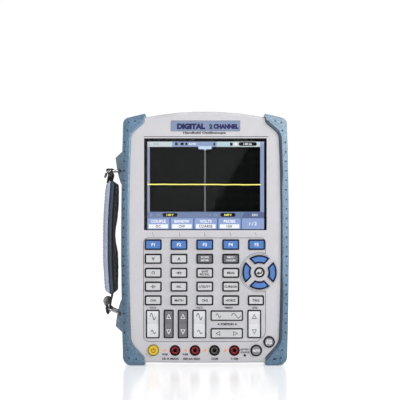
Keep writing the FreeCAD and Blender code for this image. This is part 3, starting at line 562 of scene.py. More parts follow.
def skin(bm, rows):
    """Close rows of vertices into a solid with a cap at each end."""
    n = len(rows[0])
    for a, b in zip(rows, rows[1:]):
        for i in range(n):
            j = (i + 1) % n
            bm.faces.new((a[i], a[j], b[j], b[i]))
    bm.faces.new(rows[0][::-1])
    bm.faces.new(rows[-1])


def strap_object(name, bm, m, soft=True):
    """An object on the strap; a soft one is smooth and subdivided once."""
    bmesh.ops.recalc_face_normals(bm, faces=bm.faces)
    for f in bm.faces:
        f.smooth = soft
    ob = mesh_object(name, bm, [m])
    if soft:
        sub = ob.modifiers.new("sub", "SUBSURF")
        sub.levels = sub.render_levels = 1
    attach(ob, "strap")
    return ob


# ---- printed and lit marks
CAPITAL = 0.7  # height of a capital in text of size 1
INK_LIFT, INK_SINK = 0.05, 0.03  # how far a legend stands out of its key and reaches into it, in mm
EDGE_LIFT = INK_LIFT * 0.8  # the same for the dark line round a key


class Marks:
    """Thin raised marks in one mesh. Points are (x, z) in case millimetres."""

    def __init__(self, name):
        self.name = name
        self.bm = bmesh.new()
        self.mats = []

    def at(self, y0, y1, m):
        """Front, back and material of the marks that follow."""
        self.y0, self.y1, self.m = y0, y1, m
        return self

    def slot(self, m):
        if m not in self.mats:
            self.mats.append(m)
        return self.mats.index(m)

    def poly(self, pts, m=None, lift=0.0):
        k = self.slot(m or self.m)
        area = sum(a[0] * b[1] - b[0] * a[1] for a, b in zip(pts, pts[1:] + pts[:1]))
        if area < 0:
            pts = pts[::-1]
        f = [self.bm.verts.new((x, self.y0 - lift, z)) for x, z in pts]
        b = [self.bm.verts.new((x, self.y1, z)) for x, z in pts]
        faces = [self.bm.faces.new(f), self.bm.faces.new(b[::-1])]
        for i in range(len(pts)):
            j = (i + 1) % len(pts)
            faces.append(self.bm.faces.new((f[j], f[i], b[i], b[j])))
        for q in faces:
            q.material_index = k

    def rect(self, x0, x1, z0, z1, r=0.0):
        if r <= 0:
            return self.poly([(x0, z0), (x1, z0), (x1, z1), (x0, z1)])
        pts = []
        for cx, cz, a in ((x1 - r, z0 + r, -90), (x1 - r, z1 - r, 0),
                          (x0 + r, z1 - r, 90), (x0 + r, z0 + r, 180)):
            for i in range(5):
                t = radians(a + 22.5 * i)
                pts.append((cx + r * cos(t), cz + r * sin(t)))
        self.poly(pts)

    def ring(self, cx, cz, r0, r1, a0=0.0, a1=360.0, n=40, m=None):
        k = self.slot(m or self.m)
        full = abs(a1 - a0) >= 359.9
        cols = []
        for i in range(n if full else n + 1):
            t = radians(a0 + (a1 - a0) * i / n)
            c, s = cos(t), sin(t)
            cols.append([self.bm.verts.new((cx + r * c, y, cz + r * s))
                         for r, y in ((r0, self.y0), (r1, self.y0), (r1, self.y1), (r0, self.y1))])
        for i in range(len(cols) - (0 if full else 1)):
            a, b = cols[i], cols[(i + 1) % len(cols)]
            for p in range(4):
                q = (p + 1) % 4
                self.bm.faces.new((a[p], b[p], b[q], a[q])).material_index = k
        if not full:
            self.bm.faces.new(cols[0]).material_index = k
            self.bm.faces.new(cols[-1][::-1]).material_index = k

    def stroke(self, pts, w, m=None, lift=0.0):
        """A line of width w along pts."""
        left, right = [], []
        for i, (x, z) in enumerate(pts):
            a = pts[max(0, i - 1)]
            b = pts[min(len(pts) - 1, i + 1)]
            dx, dz = b[0] - a[0], b[1] - a[1]
            d = hypot(dx, dz) or 1
            left.append((x - dz / d * w / 2, z + dx / d * w / 2))
            right.append((x + dz / d * w / 2, z - dx / d * w / 2))
        self.poly(left + right[::-1], m, lift)

    def text(self, s, cx, cz, height, width=None, squeeze=1.0, bold=0.022):
        """Lettering centred on (cx, cz); height is that of its capitals."""
        cu = bpy.data.curves.new("t", "FONT")
        cu.body = s
        cu.size = 1.0
        cu.extrude = 0.5
        cu.resolution_u = 3
        cu.offset = bold
        ob = link_object("t", cu)
        me = bpy.data.meshes.new_from_object(ob.evaluated_get(bpy.context.evaluated_depsgraph_get()))
        xs = [v.co.x for v in me.vertices]
        ys = [v.co.y for v in me.vertices]
        k = height / CAPITAL
        w = (max(xs) - min(xs)) * k * squeeze
        if width and w > width:
            squeeze *= width / w
        mx, my = (max(xs) + min(xs)) / 2, (max(ys) + min(ys)) / 2
        bm2 = bmesh.new()
        bm2.from_mesh(me)
        bmesh.ops.remove_doubles(bm2, verts=bm2.verts, dist=1e-5)
        for v in bm2.verts:
            x, y, z = v.co
            depth = (self.y0 + self.y1) / 2 - z * (self.y1 - self.y0)
            v.co = (cx + (x - mx) * k * squeeze, depth, cz + (y - my) * k)
        idx = self.slot(self.m)
        for f in bm2.faces:
            f.material_index = idx
        bm2.to_mesh(me)
        bm2.free()
        self.bm.from_mesh(me)
        bpy.data.meshes.remove(me)
        bpy.data.objects.remove(ob)
        bpy.data.curves.remove(cu)

    def build(self, body):
        bmesh.ops.recalc_face_normals(self.bm, faces=self.bm.faces)
        for v in self.bm.verts:
            v.co = placed(*v.co)
        ob = mesh_object(self.name, self.bm, self.mats)
        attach(ob, body)


def edge_line(k, node, on_face, w, lift, m, keep=lambda nx, nz: True, deep=99.0):
    """A line of width w just inside the edge of the flat faces of a node that on_face picks."""
    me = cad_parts[node].data
    spot = {}
    sides = {}
    y = 0.0
    for f in me.polygons:
        if not on_face(f):
            continue
        ids = []
        for i in f.vertices:
            v = me.vertices[i].co
            ids.append((round((v.x - CASE_X) / MM, 3), round(v.z / MM, 3)))
            y = v.y / MM
        for a, b in zip(ids, ids[1:] + ids[:1]):
            if a != b:
                sides[(a, b)] = True
    rim = {a: b for a, b in sides if (b, a) not in sides}
    back = {b: a for a, b in rim.items()}

    def normal(a, b):
        d = hypot(b[0] - a[0], b[1] - a[1]) or 1.0
        return (b[1] - a[1]) / d, -(b[0] - a[0]) / d

    k.at(y - lift, y + INK_SINK, m)
    xs, zs = [a[0] for a in rim], [a[1] for a in rim]
    for a, b in rim.items():
        inside = min(a[0] - min(xs), max(xs) - a[0], a[1] - min(zs), max(zs) - a[1])
        if inside > deep:
            continue
        if a in back and b in rim:
            n0, n1, n2 = normal(back[a], a), normal(a, b), normal(b, rim[b])
            spot[a] = spot.get(a) or bisect(a, n0, n1, w)
            spot[b] = spot.get(b) or bisect(b, n1, n2, w)
            if keep(*n1):
                k.poly([a, b, spot[b], spot[a]])


def bisect(p, n0, n1, w):
    """The point w inside two edges that meet at p, from their outward normals."""
    x, z = n0[0] + n1[0], n0[1] + n1[1]
    d = hypot(x, z) or 1.0
    c = max(0.5, (x * n1[0] + z * n1[1]) / d)
    return p[0] - x / d * w / c, p[1] - z / d * w / c


def sine(cx, cz, w, h):
    return [(cx - w / 2 + w * i / 24, cz + h / 2 * sin(2 * pi * i / 24)) for i in range(25)]


def top_face(f):
    return f.material_index == 0


def legend(node, draw, m=ink_mid):
    """draw(marks, x, z) puts the legend on one key, in the ink m."""
    x, z, y = centre(node)
    k = Marks("legend_" + node).at(y - INK_LIFT, y + INK_SINK, m)
    draw(k, x, z)
    if node.startswith(("key_", "rocker_")):
        edge_line(k, node, top_face, 0.42, EDGE_LIFT, navy_m if node in BLUE else rim_m, deep=0.5)
    if node == "nav_enter":
        edge_line(k, node, top_face, 0.7, EDGE_LIFT, rim_m)
    k.build(node + "_body")


def words(*lines, h=2.2, gap=1.0, width=13.4, squeeze=1.0, bold=0.034):
    def draw(k, x, z):
        n = len(lines)
        pitch = h + gap
        for i, s in enumerate(lines):
            k.text(s, x, z + pitch * ((n - 1) / 2 - i), h, width, squeeze, bold)
    return draw


def tri(k, x, z, s, d, w):
    """Triangle in three strokes, pointing along d (unit vector in x, z)."""
    p = [(x + d[0] * s * along - d[1] * s * across, z + d[1] * s * along + d[0] * s * across)
         for along, across in ((0.9, 0.0), (-0.7, 0.8), (-0.7, -0.8))]
    for a, b in zip(p, p[1:] + p[:1]):
        dx, dz = b[0] - a[0], b[1] - a[1]
        side = hypot(dx, dz)
        ex, ez = dx / side * w / 2, dz / side * w / 2
        k.stroke([(a[0] - ex, a[1] - ez), (b[0] + ex, b[1] + ez)], w)


def ohm(k, x, z):
    k.ring(x, z + 0.25, 0.85, 1.45, -52, 232, 28)
    for s in (-1, 1):
        k.rect(x + s * 1.1 - 0.6, x + s * 1.1 + 0.6, z - 1.4, z - 0.9)


def diode(k, x, z):
    k.stroke([(x - 3.0, z), (x + 3.0, z)], 0.6)
    k.poly([(x - 1.2, z - 1.4), (x + 0.9, z), (x - 1.2, z + 1.4)], lift=0.01)
    k.stroke([(x + 1.1, z - 1.4), (x + 1.1, z + 1.4)], 0.7, lift=0.01)


def capacitor(k, x, z):
    for s in (-1, 1):
        k.stroke([(x + s * 2.6, z), (x + s * 0.8, z)], 0.6)
        k.stroke([(x + s * 0.7, z - 1.7), (x + s * 0.7, z + 1.7)], 0.65)


def back_arrow(k, x, z):
    bend = [(x + 2.3, z + 2.1), (x + 2.5, z + 0.6), (x + 1.7, z - 0.7), (x - 0.6, z - 1.0)]
    k.stroke(bend, 1.15)
    k.poly([(x - 2.9, z - 1.0), (x - 0.4, z + 1.0), (x - 0.4, z - 2.6)], lift=0.01)


def waves(*rows):
    """Waves, each (dx, dz, width, height, line width) from the middle of a rocker."""
    def draw(k, x, z):
        for dx, dz, w, h, line in rows:
            k.stroke(sine(x + dx, z + dz, w, h), line)
    return draw


def arrows(dx, dz, size):
    """Triangles at (dx, dz) and opposite, pointing away from the middle of a rocker."""
    def draw(k, x, z):
        d = hypot(dx, dz)
        for s in (1, -1):
            tri(k, x + s * dx, z + s * dz, size, (s * dx / d, s * dz / d), 0.5)
    return draw


def power_icon(k, x, z):
    # painted shadow: a brown ring round the edge of the button
    k.ring(x, z, 4.35, 4.85, m=shadow_brown)
    k.ring(x, z - 0.2, 1.5, 2.4, 118, 422)
    k.stroke([(x, z + 0.2), (x, z + 2.6)], 0.9)


def round_key(*lines):
    def draw(k, x, z):
        k.ring(x, z, 4.15, 4.8, m=rim_m)
        words(*lines, h=1.8, gap=0.7, width=7.0, squeeze=0.95)(k, x, z)
    return draw


tall_scale, tall_tri = waves((0.0, 7.4, 5.6, 6.2, 0.66), (0.4, -7.6, 4.6, 3.6, 0.62)), arrows(0.0, 7.2, 2.5)
small = dict(h=1.8, gap=1.3, bold=0.008)
LEGENDS = [("key_f%d" % i, words("F%d" % i, h=3.1, bold=0.012), ink_white) for i in range(1, 6)] + [
    ("key_volts", words("V", h=3.0)),
    ("key_amps", words("A", h=3.0)),
    ("key_scope_meter", words("SCOPE", "METER", **small), ink_white),
    ("key_menu", words("MENU", "ON/OFF", **small), ink_white),
    ("key_ohms", ohm),
    ("key_diode", diode),
    ("key_save_recall", words("SAVE", "RECALL", h=2.0, gap=0.8)),
    ("key_measure", words("MEAS")),
    ("key_capacitance", capacitor),
    ("key_relative", words("REL", h=2.0)),
    ("key_utility", words("UTILITY")),
    ("key_cursor", words("CURSOR")),
    ("key_ch1", words("CH1")),
    ("key_math", words("MATH")),
    ("key_ch2", words("CH2")),
    ("key_horizontal", words("HORIZ")),
    ("key_trigger", words("TRIG")),
    ("rocker_ch1_scale", tall_scale),
    ("rocker_ch2_scale", tall_scale),
    ("rocker_ch1_position", tall_tri, ink_white),
    ("rocker_ch2_position", tall_tri, ink_white),
    ("rocker_trigger_level", tall_tri),
    ("rocker_time_scale", waves((-8.2, 0.0, 4.8, 3.8, 0.6), (9.0, 0.0, 9.0, 4.8, 0.64))),
    ("rocker_time_position", arrows(-8.4, 0.0, 2.4)),
    ("nav_enter", back_arrow),
    ("power_button", power_icon, ink_rust),
    ("auto_button", round_key("AUTO"), ink_white),
    ("run_stop_button", round_key("RUN", "STOP"), ink_white)]
for entry in LEGENDS:
    legend(*entry)

for node in ARROWS:
    k = Marks("legend_" + node)
    edge_line(k, node, top_face, 0.62, EDGE_LIFT, navy_m)
    k.build(node + "_body")
# painted shade: a dark line along the inner edge of the right guard
k = Marks("guard_bevel_painted_shade_line")
edge_line(k, "right_bumper", lambda f: f.normal.y < -0.999 and f.center.y < -0.0259, 1.15, 0.03,
          bevel_painted_shade_m, lambda nx, nz: nx < -0.12)
k.build("case")


def prints(name, front, m):
    """Marks printed in m on a face whose front is at this y."""
    return Marks(name).at(front - 0.04, front + INK_SINK, m)


p = prints("case_prints", FACE / MM, ink_mid)
for x, s in ((-50.9, "VOLTS"), (-5.5, "VOLTS"), (23.0, "TIME/DIV"), (48.8, "LEVEL")):
    p.text(s, x, 56.6, 1.6, 11.0, 0.9, 0.045)
p.text("POSITION", 21.6, 40.6, 1.9, 12.4, 1.1, 0.065)
for s in (-1, 1):
    p.poly([(21.6 + s * 9.9, 40.6), (21.6 + s * 7.7, 41.8), (21.6 + s * 7.7, 39.4)])
for x, w, s in ((-33.4, 16.4, "10 A MAX"), (-12.9, 16.8, "500 mA MAX"),
                (9.5, 6.6, "COM"), (28.7, 7.4, "V / OHM")):
    p.text(s, x, 6.9, 1.9, w, 1.5, 0.06)
for x in (-39.0, -19.2):
    p.text("FUSE", x, 11.2, 1.6, 5.4, 1.1, 0.06)
for x in (-39.5, -19.1, 0.0, 19.9):
    p.poly([(x - 1.9, 14.1), (x + 1.9, 14.1), (x, 17.3)], m=ink_orange)
for z, s in ((16.0, "BATTERY"), (13.2, "STATUS")):
    p.text(s, 38.8, z, 1.6, 8.4, 1.1, 0.05)
for x in (-51.2, -25.2, -0.8, 24.2, 49.0):
    p.stroke([(x, 130.2), (x + 0.5, 128.0), (x + 1.1, 126.2)], 0.34, m=ink_dark)
p.stroke([(-15.4, 69.3), (-8.4, 69.3)], 0.25, m=ink_pale)
p.text("Handheld Oscilloscope", -0.5, 227.0, 2.1, 46.0, 1.48, 0.045)
p.at(p.y0, p.y1 + 0.02, black_mask_and_shade_m)  # painted shadow: a dark line round the display window
wlo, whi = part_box("screen_window")
WX0, WX1, WZ0, WZ1 = [round(v / MM, 3) for v in (wlo.x - CASE_X, whi.x - CASE_X, wlo.z, whi.z)]
for x0, x1, z0, z1 in ((WX0 - 0.75, WX0 + 0.2, WZ0 - 0.3, WZ1 + 0.4),
                       (WX1 - 0.2, WX1 + 0.35, WZ0 - 0.3, WZ1 + 0.4),
                       (WX0, WX1, WZ1 - 0.2, WZ1 + 0.4), (WX0, WX1, WZ0 - 0.3, WZ0 + 0.2)):
    p.rect(x0, x1, z0, z1)
p.build("case")

p = prints("name_plate_print", centre("name_plate")[2], ink_navy)
p.text("DIGITAL", -13.6, 233.5, 4.7, 27.6, 1.5, 0.085)
p.text("2 CHANNEL", 18.4, 233.4, 4.0, 28.6, 1.3, 0.08)
p.build("case")


# ---- the display
def lcd(name, colour, power=1.0):
    return glow("lcd_" + name, srgb(colour), power)


g_bar = lcd("status_left", "#c3cfd2")
g_mid = lcd("status_middle", "#8b9fbf")
g_green = lcd("status_green", "#b0ced2")
g_side = lcd("side_bar", "#8f99b1")
g_sider = lcd("side_bar_right", "#8798bd")
g_low = lcd("lower_bar", "#7c8fb3", 0.8)
g_lowr = lcd("lower_tab", "#5d6c90")
g_cell = lcd("soft_cell", "#91a4cf")
g_cell2 = lcd("soft_cell_right", "#8fa2cc")
g_edge = lcd("cell_edge", "#5f76a8")
g_white = lcd("white", "#f4f7fb", 0.95)
g_text = lcd("text_white", "#f8fbff")
g_black = lcd("text_black", "#1a1d26")
g_plot = lcd("plot", "#050604")
g_grid = lcd("grid", "#383a41")
g_line = lcd("centre_line", "#8a8b92")
g_trace = lcd("trace", "#f8f47c", 1.3)
g_tab = lcd("tab", "#c0d9f0")

PICTURE_Y = -21.15  # back layer of the picture, on the display module
LAYER, SHEET = 0.02, 0.03  # from one layer to the next, and how thick each is


def layer(n):
    return PICTURE_Y - LAYER * n


s = Marks("display_picture")
AX0, AX1, AZ0, AZ1 = -56.5, 57.9, 133.0, 220.4  # the lit area
PX0, PX1, PZ0, PZ1 = -54.0, 53.9, 150.2, 213.6  # the plot in it
LX0, LX1 = AX0 + 0.2, AX1 - 0.2  # ends of the bars
BAR_TOP, CELL_TOP = 218.7, 144.0  # top of the status bar and of the soft keys
COLUMNS, ROWS = 12, 8  # divisions of the plot


def lit(x0, x1, z0, z1, n, m, r=0.0):
    s.at(layer(n), layer(n) + SHEET, m).rect(x0, x1, z0, z1, r)


def say(t, x, z, h, n, m, width=None):
    s.at(layer(n), layer(n) + SHEET, m).text(t, x, z, h, width, bold=0.02)


s.at(PICTURE_Y, PICTURE_Y + 0.2, black_mask_and_shade_m).rect(-57.4, 59.0, AZ0 - 0.1, AZ1 + 0.3)
lit(LX0, PX0, CELL_TOP, BAR_TOP, 1, g_side)
lit(PX1, LX1, CELL_TOP, BAR_TOP, 1, g_sider)
for x0, x1, m in ((LX0, -32.0, g_bar), (-32.0, 11.5, g_mid), (11.5, 25.0, g_green), (25.0, LX1, g_bar)):
    lit(x0, x1, PZ1, BAR_TOP, 1, m)
lit(PX0, PX1, PZ0, PZ1, 1, g_plot)
for i in range(1, COLUMNS):  # dotted graticule
    x = PX0 + (PX1 - PX0) * i / COLUMNS
    if i != COLUMNS // 2:
        for j in range(40):
            z = PZ0 + (PZ1 - PZ0) * (j + 0.5) / 40
            lit(x - 0.14, x + 0.14, z - 0.3, z + 0.3, 2, g_grid)
for i in range(1, ROWS):
    z = PZ0 + (PZ1 - PZ0) * i / ROWS
    for j in range(60):
        x = PX0 + (PX1 - PX0) * (j + 0.5) / 60
        lit(x - 0.35, x + 0.35, z - 0.14, z + 0.14, 2, g_grid)
lit(-0.45, 0.45, PZ0, PZ1, 3, g_line)
lit(-6.4, 6.4, 211.3, PZ1 + 0.6, 4, g_tab, 0.5)
s.at(layer(4), layer(3), g_tab).poly([(-1.6, 211.4), (1.6, 211.4), (0, 209.9)])
TRACE_N, TRACE_Z, TRACE_HALF = 120, 177.1, 0.48
pts = []
for i in range(TRACE_N + 1):  # the flat noisy trace
    x = AX0 + 0.6 + (54.6 - AX0 - 0.6) * i / TRACE_N
    wander = 0.34 * noise.noise(Vector((x * 0.9, 3.1, 0))) + 0.42 * (random.random() - 0.5)
    pts.append((x, TRACE_Z - 0.5 * i / TRACE_N + wander))
s.at(layer(6), layer(5), g_trace)
for (x0, z0), (x1, z1) in zip(pts, pts[1:]):
    s.poly([(x0, z0 - TRACE_HALF), (x1, z1 - TRACE_HALF), (x1, z1 + TRACE_HALF), (x0, z0 + TRACE_HALF)])
s.at(layer(7), layer(5), g_trace).poly([(-56.2, 176.2), (-54.5, 177.1), (-56.2, 178.0)])
# status bar
for x, w in ((-28.0, 2.6), (-22.4, 3.2), (-18.2, 2.0)):
    lit(x - w / 2, x + w / 2, 215.2, 217.8, 2, g_black, 0.6)
say("RUN", -47.6, 216.4, 1.7, 2, g_side, 9.0)
say("AUTO", -12.4, 216.4, 2.1, 2, g_text, 7.0)
lit(8.2, 10.0, 215.0, 217.6, 2, g_black)
lit(24.4, 27.0, 214.7, 217.9, 2, g_black, 0.5)
say("M", 30.0, 216.3, 2.0, 2, g_text)
lit(32.8, 50.6, 214.6, 218.2, 2, g_black, 1.7)
say("1.00 ms", 41.7, 216.4, 1.9, 3, g_text, 13.0)
# lower bar
lit(LX0, LX1, CELL_TOP, PZ0, 2, g_low)
tab = [(35.6, CELL_TOP), (LX1, CELL_TOP), (LX1, PZ0 - 0.5), (38.6, PZ0 - 0.5)]
s.at(layer(3), layer(2), g_lowr).poly(tab)
for x, t in ((-34.2, "1.00 V"), (22.4, "0.00 V")):
    lit(x - 7.4, x + 7.4, 145.3, 149.1, 3, g_black, 1.8)
    say(t, x, 147.2, 1.9, 4, g_trace, 11.0)
say("CH1", 48.6, 147.1, 2.1, 4, g_text)
for x in (-52.5, -46.5, -44.5, 5.0, 9.5, 11.5):
    lit(x - 0.5, x + 0.5, 146.0, 148.2, 3, g_side, 0.3)
# soft keys
lit(LX0, LX1, AZ0, CELL_TOP, 1, g_edge)
for x0, x1, head, val in ((-56.2, -35.0, "COUPLE", "DC"), (-33.3, -11.8, "BANDW", "OFF"),
                          (-10.1, 11.5, "VOLTS", "COARSE"), (13.2, 34.7, "PROBE", "10X"),
                          (36.1, 57.7, "1 / 2", None)):
    lit(x0, x1, 133.3, 143.8, 2, g_cell if val else g_cell2, 0.5)
    c = (x0 + x1) / 2
    if val:
        say(head, c, 140.9, 2.7, 3, g_text, 18.0)
        lit(x0 + 1.2, x1 - 1.2, 134.0, 138.0, 3, g_white, 0.3)
        say(val, c, 136.0, 2.5, 4, g_black, 16.0)
    else:
        say(head, c, 138.6, 3.0, 3, g_text, 14.0)
s.build("case")


# ---- hand strap
def lerp_table(table, z):
    for (z0, v0), (z1, v1) in zip(table, table[1:]):
        if z <= z1:
            return v0 + (v1 - v0) * max(0.0, (z - z0) / (z1 - z0))
    return table[-1][1]


def smooth_table(table, z, r=3.0):
    return sum(lerp_table(table, z + r * k / 2) for k in (-2, -1, 0, 1, 2)) / 5


# outline of the pad seen from the front, as (z, x): IN is the line next to the case, OUT the far one
IN = [(72.8, -86.3), (86, -85.9), (100, -85.8), (109, -86.1), (115, -87.3), (120.5, -88.8), (126, -89.1),
      (132, -88.9), (137.5, -87.9), (144.6, -86.6), (152, -85.8), (165, -85.3), (176.6, -85.5)]
OUT = [(72.8, -97.6), (76.8, -98.1), (86, -98.7), (96, -99.3), (105.6, -99.6), (125, -99.6),
       (135, -99.5), (144.6, -99.2), (155, -98.6), (164, -97.9), (177.2, -96.9)]
BOT, TOP = (-91.4, 68.7), (-91.3, 180.9)  # where both lines meet, below and above


def pad_line(table, z):
    """x along one line of the pad, straight from the table's ends to where both lines meet."""
    (z0, x0), (z1, x1) = table[0], table[-1]
    if z < z0:
        return BOT[0] + (x0 - BOT[0]) * (z - BOT[1]) / (z0 - BOT[1])
    if z > z1:
        return TOP[0] + (x1 - TOP[0]) * (TOP[1] - z) / (TOP[1] - z1)
    return smooth_table(table, z)


def pad_in(z):
    return pad_line(IN, z)


def loft(name, ends, n, xa, xb, m, crown=0.0, seg=28, sharp=3.2, grain=0.0):
    """Closed padded slab along z: between xa(z) and xb(z) in x, and within ends, which are the lower
    and the upper end and half the width.

    crown pushes the outer face out in the middle of the width; sharp squares the section."""
    bm = bmesh.new()
    rows = []
    for z in steps(ends[0], ends[1], n):
        a, b, h = xa(z), xb(z), end_round(z, *ends)
        mid, hx = (a + b) / 2, abs(b - a) / 2
        row = []
        for i in range(seg):
            t = 2 * pi * (i + 0.5) / seg
            c, s_ = cos(t), sin(t)
            u = copysign(abs(c) ** (2 / sharp), c)
            v = copysign(abs(s_) ** (2 / sharp), s_)
            y = h * u
            x = mid + hx * v
            edge = 1 - abs(u) ** 2
            x += copysign(crown * edge, v) * min(1.0, abs(v) * 1.2) * (1 if v < 0 else 0.4)
            if grain:
                x += grain * noise.noise(Vector((x * 0.35, y * 0.35, z * 0.35)))
                y += grain * noise.noise(Vector((x * 0.35 + 9, y * 0.35, z * 0.35)))
            row.append(bm.verts.new(placed(x, y, z)))
        rows.append(row)
    skin(bm, rows)
    return strap_object(name, bm, m)


def steps(z0, z1, n):
    """Stations from z0 to z1, closer together near both ends."""
    return [z0 + (z1 - z0) * (0.5 - 0.5 * cos(pi * i / n)) for i in range(n + 1)]


COVER, EDGE, DEEP = 5.0, 7.6, 9.6  # how far each layer reaches in from the outer line
COVER_ENDS = (69.6, 180.4, 20.9)
CROWN, SQUARE = 0.25, 5.0  # bulge of the cover and how square its section is


def end_round(z, z0, z1, full, r=4.0):
    """Half the width at z, narrowing over r at both ends."""
    d = min(z - z0, z1 - z)
    k = max(0.0, min(1.0, d / r))
    return full * (0.72 + 0.28 * sqrt(max(0.0, 1 - (1 - k) ** 2)))


def out_line(z):
    return smooth_table(OUT, min(max(z, 74.0), 176.0))


def inner_limit(z, x):
    return min(x, pad_in(z) - 0.1)


def cover_out(z):
    return max(pad_line(OUT, z), out_line(z))


def cover_in(z):
    return inner_limit(z, max(pad_line(OUT, z) + 0.6, out_line(z) + COVER))


strap_black_m = leather("strap_edge_black", (0.004, 0.005, 0.007), 0.2, 0.7)
cover = loft("strap_cover", COVER_ENDS, 60, cover_out, cover_in, cover_m, crown=CROWN, sharp=SQUARE)
core = loft("strap_edge", (68.9, 180.8, 20.3), 60,
            lambda z: inner_limit(z, max(pad_line(OUT, z), out_line(z) + COVER - 0.3)),
            lambda z: inner_limit(z, out_line(z) + DEEP) + 0.02, strap_dark_band_m, sharp=6.0)
core.data.materials.append(strap_black_m)
for f in core.data.polygons:
    if (f.center.x - CASE_X) / MM > out_line(f.center.z / MM) + EDGE:
        f.material_index = 1
lining = loft("strap_lining", (71.2, 178.2, 20.6), 90,
              lambda z: min(out_line(z) + DEEP - 0.4, pad_in(z) - 0.6), pad_in,
              lining_m, sharp=3.0, grain=0.5)
for o in (cover, core, lining):
    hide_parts("strap_pad")


def cover_face(z, y):
    """Outer face of the cover at height z and width y."""
    a, b = cover_out(z), cover_in(z)
    u = abs(y) / end_round(z, *COVER_ENDS)
    v = (1 - u ** SQUARE) ** (1 / SQUARE)
    return (a + b) / 2 - (b - a) / 2 * v - CROWN * (1 - u ** 2)


def stitches(name, m, rows, z0, z1, pitch=3.5, length=2.3, half=0.34):
    """Rows of thread along the strap, each stitch half sunk in the cover."""
    bm = bmesh.new()
    for y in rows:
        for i in range(int((z1 - z0) / pitch)):
            ends = []
            for z in (z0 + i * pitch, z0 + i * pitch + length):
                x = cover_face(z, y)
                ends.append([bm.verts.new(placed(x + p * half, y + q * half, z))
                             for p, q in ((-1, -1), (-1, 1), (1, 1), (1, -1))])
            skin(bm, ends)
    return strap_object(name, bm, m, soft=False)


stitches("strap_stitching", thread_m, (-16.8, 16.8), 75.5, 175.5)


def ribbon(name, pts, width, thick, m, wave=0.0, seg=6, fray=0.0, yaw=0.0, y_off=0.0):
    """Webbing along points (x, z): a closed flat band with soft edges."""
    bm = bmesh.new()
    path = []  # a Catmull-Rom curve through the points
    n = len(pts)
    for i in range(n - 1):
        p0, p1, p2, p3 = pts[max(0, i - 1)], pts[i], pts[i + 1], pts[min(n - 1, i + 2)]
        d = hypot(p2[0] - p1[0], p2[1] - p1[1])
        k = max(2, int(d / 1.2))
        for j in range(k):
            t = j / k
            path.append(tuple(0.5 * (2 * b + (c - a) * t + (2 * a - 5 * b + 4 * c - e) * t * t
                                     + (3 * b - a - 3 * c + e) * t ** 3)
                              for a, b, c, e in zip(p0, p1, p2, p3)))
    path.append(pts[-1])
    rows = []
    for i, (x, z) in enumerate(path):
        a, b = path[max(0, i - 1)], path[min(len(path) - 1, i + 1)]
        dx, dz = b[0] - a[0], b[1] - a[1]
        d = hypot(dx, dz) or 1
        nx, nz = -dz / d, dx / d
        row = []
        for side in (1, -1):
            for j in range(seg + 1):
                u = (-1 + 2 * j / seg) * side
                th = thick / 2 * (1 if abs(u) < 0.95 else 0.45)
                y = y_off + u * width / 2 * cos(yaw) + (0.25 * sin(z * 0.9) if fray else 0)
                off = side * th + u * width / 2 * sin(yaw)
                off += wave * noise.noise(Vector((u * 1.5, z * 0.12, 4.0)))
                if fray:
                    off += fray * noise.noise(Vector((u * 7, z * 0.8, x * 0.8)))
                row.append(bm.verts.new(placed(x + nx * off, y, z + nz * off)))
        rows.append(row)
    skin(bm, rows)
    return strap_object(name, bm, m)


WIRE = 0.0022  # the outer bar of a ring lies within this of its end, in m


def ring_bar(node):
    """Centre (x, z) of the ring's outer bar, the side away from the case."""
    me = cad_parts[node].data
    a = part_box(node)[0]
    far = [v.co for v in me.vertices if v.co.x < a.x + WIRE]
    x = (min(v.x for v in far) + max(v.x for v in far)) / 2
    z = (min(v.z for v in far) + max(v.z for v in far)) / 2
    return (x - CASE_X) / MM, z / MM


ux, uz = ring_bar("strap_ring_upper")
lx, lz = ring_bar("strap_ring_lower")


def around(cx, cz, r, a0, a1, n=9):
    turns = [radians(a0 + (a1 - a0) * i / (n - 1)) for i in range(n)]
    return [(cx + r * cos(t), cz + r * sin(t)) for t in turns]


LOOP_R = 2.2  # radius of the webbing round the bar of a ring
for o in (
        ribbon("strap_webbing_upper", [(-92.3, 176.0), (-91.6, 182.0), (-90.4, 186.6)]
               + around(ux, uz, LOOP_R, -14, 150) + [(-94.5, 187.0), (-95.3, 183.2), (-96.3, 178.2)],
               24.0, 1.7, webbing_m, 0.25),
        ribbon("strap_webbing_layer", [(-93.3, 179.6), (-92.6, 183.6), (-92.4, 187.0)],
               23.0, 2.3, webbing_m, 0.3, 8, 0.3),
        ribbon("strap_webbing_keeper", [(-92.9, 184.6), (-92.2, 187.6), (-91.3, 190.4), (-90.7, 192.6)],
               1.8, 3.4, webbing_m, 0.2, 4, 0.3, y_off=-16.2),
        ribbon("strap_webbing_tag", [(-97.1, 188.7), (-97.9, 186.3), (-98.9, 183.6)],
               23.0, 1.4, hook_m, 0.2, 8, 0.25),
        ribbon("strap_webbing_lower", [(-91.6, 74.0), (-91.5, 68.6), (-92.4, 64.4), (-93.2, 60.6)]
               + around(lx, lz, LOOP_R, 84, -165) + [(-96.4, 57.6), (-97.2, 59.6)],
               24.0, 1.8, webbing_m, 0.2),
        ribbon("strap_webbing_fold", [(-96.4, 57.0), (-98.2, 59.8), (-98.8, 62.2), (-97.3, 64.2),
                                      (-95.3, 64.8), (-94.7, 62.2), (-94.9, 58.8)],
               23.0, 2.3, hook_m, 0.3, 10, 0.5, yaw=0.14),
        ribbon("strap_webbing_tail", [(-97.4, 56.4), (-97.0, 53.4), (-96.2, 50.6), (-94.6, 49.6)],
               23.0, 1.8, webbing_m, 0.3, 8, 0.3)):
    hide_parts("strap_webbing")


# ---- stage, light, camera
def plane(name, pts, m):
    me = bpy.data.meshes.new(name)
    me.from_pydata(pts, [], [tuple(range(len(pts)))])
    ob = link_object(name, me)
    give(ob, [m])
    return ob


